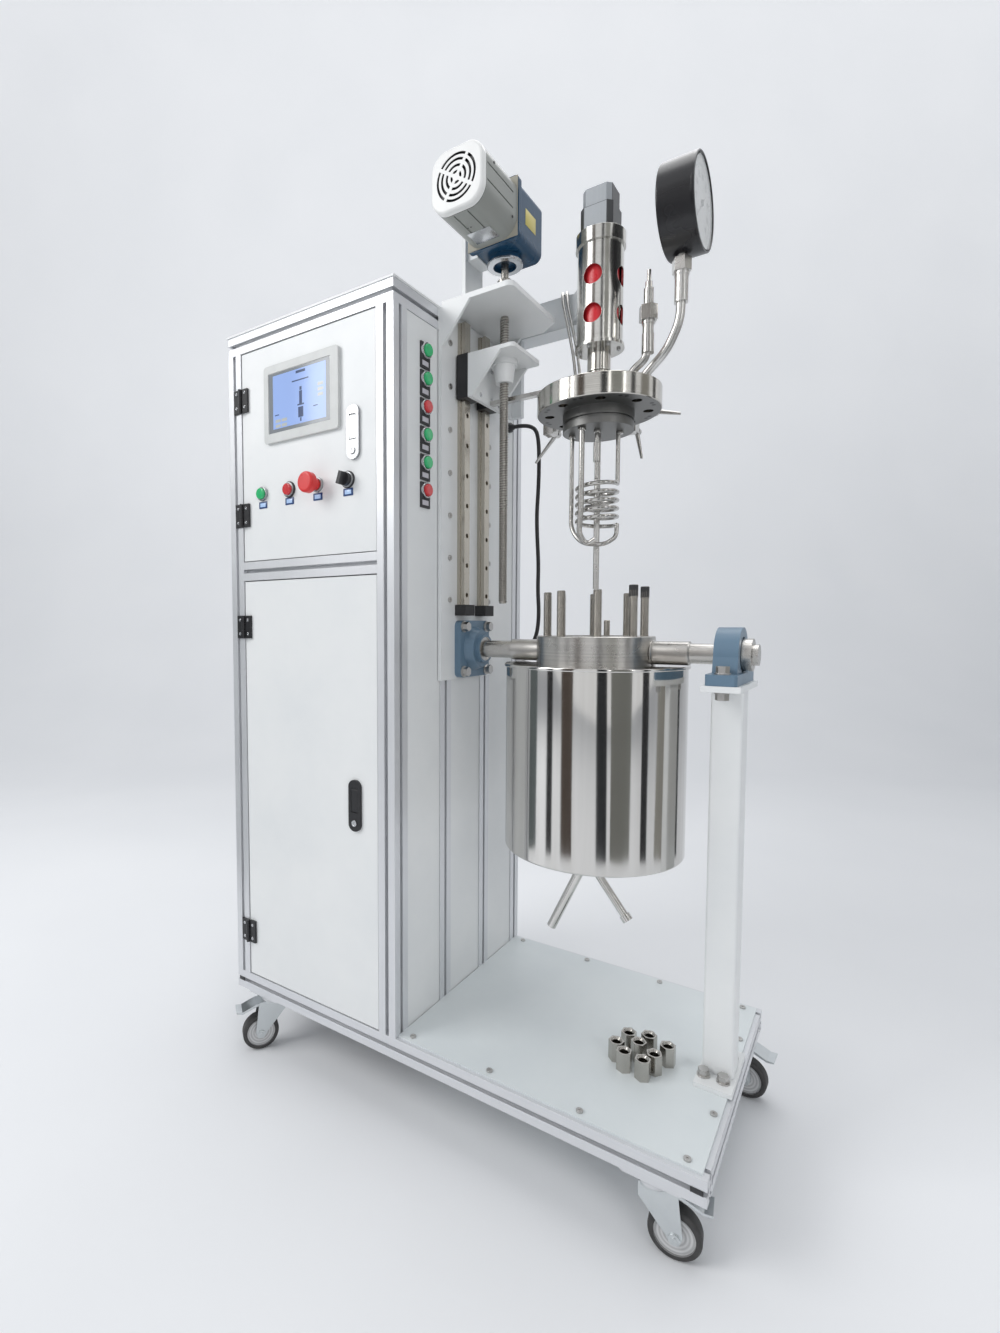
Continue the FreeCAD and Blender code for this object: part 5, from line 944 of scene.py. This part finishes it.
# Fittings of the lid: bright annealed tube for the coil and lines, machined stainless bodies
# for valves and transmitter, with compression nuts where they meet the lid.

tube_steel = drawn_metal("bright_annealed_tube", (0.68, 0.67, 0.65), (0.48, 0.47, 0.45), (300, 300, 40), 0.16,
                         0.00003)
dress(tube_steel, "cooling_coil", "lid_fittings", "valve_handle_left", "valve_handle_rear",
      "valve_handle_right")


def compression_nut(place, across, height, axis):
    """A hexagon nut with chamfered ends and a collar, in millimetres."""
    middle = Vector(place) / 1000 + Vector(axis).normalized() * height / 2000
    bpy.ops.mesh.primitive_cylinder_add(vertices=6, radius=across / math.sqrt(3) / 1000, depth=height / 1000,
                                        location=middle)
    made = bpy.context.object
    made.rotation_euler = Vector(axis).to_track_quat("Z", "Y").to_euler()
    return softened(settle(made), across / 20000, 2, 30)


nuts = [compression_nut((x, y, z), across, height, axis) for x, y, z, across, height, axis in (
    (169, 52, LID_TOP, 8, 7, UP), (178, 52, LID_TOP, 8, 7, UP),
    (287, -13, LID_TOP - 1, 18, 8, UP), (293, 16, LID_TOP - 1, 20, 8, UP),
    (269.8, 12.3, SPIGOT_BOTTOM, 11, 6, DOWN), (187, -10, SPIGOT_BOTTOM, 11, 6, DOWN),
    (221, -48, SPIGOT_BOTTOM, 13, 6, DOWN), (239, -20, SPIGOT_BOTTOM, 11, 6, DOWN))]
claim(joined(nuts), "compression_nuts", "lid_carriage", "stainless", tube_steel)

# Gauge: a black enamelled steel case with a rolled ring, a white dial with plain numbers, a
# black pointer and a flat glass. Its stem is a stainless stack on a bent pipe.

GAUGE_Y = 3
GAUGE_Z = 1645
GAUGE_FACE = 409
case_black, tree = finish_for("gauge_case_and_stem")
coat = place_effect(tree, powder, {"Colour": (0.014, 0.014, 0.016), "Peel": 300.0})
brushed = drawn(tree, (0.78, 0.77, 0.75), (0.62, 0.61, 0.59), (400, 400, 30))
off_dial = place_effect(tree, about_axis, {"Centre": (0, GAUGE_Y / 1000, GAUGE_Z / 1000), "Axis": RIGHT})
stem = calc(tree, "GREATER_THAN", off_dial["Distance"], 0.0756)
tone = mixed(tree, stem, coat["Color"], brushed["Color"])
edge = rounded(tree, coat["Height"], 0.00004)
gloss = ramp(tree, coat["Cloud"], 0.2, 0.34)
finish_ends(case_black, tone, gloss, edge, stem)
dress(case_black, "pressure_gauge")
ring = turned([(68.6, -6.5), (74.6, -6.5), (75, -5), (75, -0.6), (74.2, 0.0), (70.6, 0.0), (69.2, -1.2),
               (68.6, -3)], (GAUGE_FACE, GAUGE_Y, GAUGE_Z), RIGHT, 96)
ring_enamel = coated("gauge_ring_enamel", (0.016, 0.016, 0.018), 0.22)
claim(ring, "gauge_ring", "lid_carriage", "gauge_case", ring_enamel)
dial_white = coated("gauge_dial_white", (0.80, 0.80, 0.78), 0.38)
dial_ink = coated("gauge_ink", (0.012, 0.012, 0.014), 0.45)
DIAL_FACE = GAUGE_FACE - 4.6
dial = turned([(0, 0), (69, 0), (69, 0.5), (68.5, 0.7), (0, 0.7)],
              (DIAL_FACE - 0.7, GAUGE_Y, GAUGE_Z), RIGHT, 72)
claim(dial, "gauge_dial", "lid_carriage", "gauge_case", dial_white)


def swung(mark, lean, taper=0.0):
    """Swing an upright mark round the dial's centre; a pointer narrows towards its tip."""
    centre = Vector((DIAL_FACE, GAUGE_Y, GAUGE_Z)) / 1000
    for vertex in mark.data.vertices:
        arm = vertex.co - centre
        across = arm.y * (1.0 - taper * max(0.0, arm.z) / 0.05)
        vertex.co = centre + Vector((arm.x, across * math.cos(lean) - arm.z * math.sin(lean),
                                     across * math.sin(lean) + arm.z * math.cos(lean)))
    return mark


printed = []
FULL_SCALE = 40
MARK_RADIUS = 60
NUMBER_RADIUS = 42
for k in range(FULL_SCALE + 1):
    turn = math.radians(225 - 270 * k / FULL_SCALE)
    long = 9.0 if k % 5 == 0 else 5.0
    tip = GAUGE_Z + MARK_RADIUS
    mark = chamfered_block((DIAL_FACE - 0.05, GAUGE_Y - 0.45, tip - long),
                           (DIAL_FACE + 0.08, GAUGE_Y + 0.45, tip), 0.02, 1)
    printed.append(swung(mark, turn - math.pi / 2))
for k in range(9):
    turn = math.radians(225 - 270 * k / 8)
    bpy.ops.object.text_add(location=(0, 0, 0))
    number = bpy.context.object
    number.data.body = str(k * 5)
    number.data.size = 0.0135
    number.data.align_x = "CENTER"
    number.data.align_y = "CENTER"
    number.data.extrude = 0.00006
    bpy.ops.object.convert(target="MESH")
    number = bpy.context.object
    number.rotation_euler = (math.pi / 2, 0, math.pi / 2)
    number.location = ((DIAL_FACE + 0.02) / 1000, (GAUGE_Y + NUMBER_RADIUS * math.cos(turn)) / 1000,
                       (GAUGE_Z + NUMBER_RADIUS * math.sin(turn)) / 1000)
    settle(number)
    printed.append(number)
claim(joined(printed), "gauge_scale", "lid_carriage", "gauge_case", dial_ink)
needle = chamfered_block((DIAL_FACE + 1.2, GAUGE_Y - 1.1, GAUGE_Z - 16),
                         (DIAL_FACE + 1.7, GAUGE_Y + 1.1, GAUGE_Z + 50), 0.2, 1)
swung(needle, math.radians(135), 0.7)
boss = turned([(0, 0), (5, 0), (5, 1.8), (4.2, 2.4), (0, 2.4)], (DIAL_FACE, GAUGE_Y, GAUGE_Z), RIGHT, 32)
claim(joined([needle, boss]), "gauge_pointer", "lid_carriage", "gauge_case", dial_ink)
glass, tree = finish_for("gauge_glass")
place = object_place(tree)
wipe = noise(tree, place, 40.0, 3.0)
haze = ramp(tree, wipe, 0.02, 0.07)
feed_shader(glass, {"Base Color": (0.97, 0.98, 0.98), "Roughness": haze, "Transmission Weight": 1.0,
                    "IOR": 1.3})
pane = turned([(0, 0), (68.8, 0), (69, 0.3), (68.8, 0.8), (0, 0.8)],
              (GAUGE_FACE - 1.9, GAUGE_Y, GAUGE_Z), RIGHT, 72)
claim(pane, "gauge_glass", "lid_carriage", "gauge_case", glass)

# Vessel: the flange ring and cup are one stainless forging, turned and brushed round, with
# polished shafts. The jacket is thin mirror-polished sheet, seam welded down its back.

forged_steel = turned_metal("brushed_forged_steel", (0.64, 0.62, 0.59), (0.44, 0.43, 0.41), 0.26, 700.0)
dress(forged_steel, "vessel")
mirror_sheet, tree = finish_for("mirror_polished_sheet")
place = object_place(tree)
polish = put(tree, "Mapping", {"Vector": place, "Scale": (60, 60, 2.0)}).outputs["Vector"]
streak = noise(tree, polish, 1.0, 4.0)
slow = put(tree, "Mapping", {"Vector": place, "Scale": (9, 9, 1.4)}).outputs["Vector"]
dent = noise(tree, slow, 1.0, 1.0)
tone = mixed(tree, streak, (0.56, 0.545, 0.52), (0.76, 0.75, 0.73))
gloss = ramp(tree, streak, 0.04, 0.13)
waved = put(tree, "Bump", {"Height": dent, "Strength": 0.5, "Distance": 0.004})
finish_ends(mirror_sheet, tone, gloss, waved.outputs["Normal"], 1.0)
dress(mirror_sheet, "jacket")
rolled = turned([(166, -5.6), (168, -5.2), (168.6, -4), (168.8, -2.5), (168.6, -1), (168, 0), (166, 0.3)],
                (VESSEL_X, 0, 870), UP, 128)
claim(rolled, "jacket_rolled_lip", "vessel", "polished_steel", mirror_sheet)
SHAFT_HEIGHT = 893
beads = []
for side in (-1, 1):
    weld = turned([(20.5, -1.5), (23.2, -1.0), (23.4, 0.5), (21, 2.6)],
                  (VESSEL_X + side * 107.6, 0, SHAFT_HEIGHT), (side, 0, 0), 56)
    step = turned([(17.2, -0.5), (19.6, -0.2), (19.0, 1.4), (17.2, 2.0)],
                  (VESSEL_X + side * 170, 0, SHAFT_HEIGHT), (side, 0, 0), 48)
    beads += [weld, step]
claim(joined(beads), "shaft_welds", "vessel", "stainless", forged_steel)

# Studs: eight threaded bars screwed in the ring, chamfered at the top. Two have black caps, and
# a plain pin beside them guides the lid.

# The near-black root colour is painted shade in the studs' thread grooves.
stud_steel = threaded_metal("stud_steel", (0.66, 0.63, 0.57), (0.44, 0.41, 0.37), (0.06, 0.052, 0.045), 0.22)
RING_TOP = 922
STUD_TOP = RING_TOP + 82
STUD_CIRCLE = 88
bars = []
for k in range(8):
    x, y, _ = spot = round_vessel(STUD_CIRCLE, math.radians(45 * (k + 0.5)), RING_TOP)
    bars.append(thread(x, y, RING_TOP, STUD_TOP - 2, 8.0, 1.1, 2.0, 14))
    bars.append(turned([(0, -26), (8, -26), (8, 0), (6.95, 0.4), (6.95, 80.6), (6.2, 82), (0, 82)], spot, UP,
                       20))
bars.append(turned([(0, 0), (6, 0), (6, 29), (5, 30), (0, 30)], (VESSEL_X - 8, 86, RING_TOP), UP, 28))
threaded = joined(bars)
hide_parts("studs")
claim(threaded, "threaded_studs", "vessel", "stainless", stud_steel)
caps = []
for k in (0, 7):
    spot = round_vessel(STUD_CIRCLE, math.radians(45 * (k + 0.5)), STUD_TOP)
    caps.append(turned([(0, -12), (7.6, -12), (7.9, -11), (7.9, 8), (7.0, 9), (0, 9)], spot, UP, 28))
claim(joined(caps), "stud_caps", "vessel", "black_plastic", black_grain)

# Bearings and post: cast housings in light blue paint round a steel insert, on a white square
# post with welded plates. Hexagon bolts on washers hold them.

housing_paint, tree = finish_for("bearing_blue_paint")
coat = place_effect(tree, powder, {"Colour": (0.13, 0.21, 0.29), "Peel": 110.0})
insert = place_effect(tree, turned_lines, {"Centre": (0, 0, SHAFT_HEIGHT / 1000), "Axis": RIGHT,
                                           "Light": (0.66, 0.65, 0.63), "Dark": (0.42, 0.41, 0.4)})
off_shaft = place_effect(tree, about_axis, {"Centre": (0, 0, SHAFT_HEIGHT / 1000), "Axis": RIGHT})
inside = calc(tree, "LESS_THAN", off_shaft["Distance"], 0.0246)
tone = mixed(tree, inside, coat["Color"], insert["Color"])
edge = rounded(tree, coat["Height"], 0.0002)
gloss = ramp(tree, coat["Cloud"], 0.24, 0.42)
finish_ends(housing_paint, tone, gloss, edge, inside)
dress(housing_paint, "trunnion_bearings")

bolt_zinc, tree = finish_for("bolts_and_glands")
behind = calc(tree, "GREATER_THAN", coordinate(tree, "Y"), 0.15)
beside = calc(tree, "LESS_THAN", coordinate(tree, "X"), -0.03)
gland = calc(tree, "MULTIPLY", behind, beside)
plated = drawn(tree, (0.66, 0.65, 0.63), (0.44, 0.43, 0.42), (260, 260, 260))
tone = mixed(tree, gland, plated["Color"], (0.02, 0.02, 0.022))
bare = calc(tree, "SUBTRACT", 1.0, gland)
gloss = ramp(tree, plated["Cloud"], 0.22, 0.42)
edge = rounded(tree, plated["Height"], 0.00004)
finish_ends(bolt_zinc, tone, gloss, edge, bare)
dress(bolt_zinc, "fasteners")

# Loose nuts: the eight tall hexagon nuts of the studs, turned from bright bar. They stand on
# the deck, where they are kept while the lid is up.

dress(drawn_metal("bright_bar_nut", (0.62, 0.60, 0.56), (0.42, 0.40, 0.37), (240, 240, 240), 0.2, 0.00004),
      "stud_nuts")
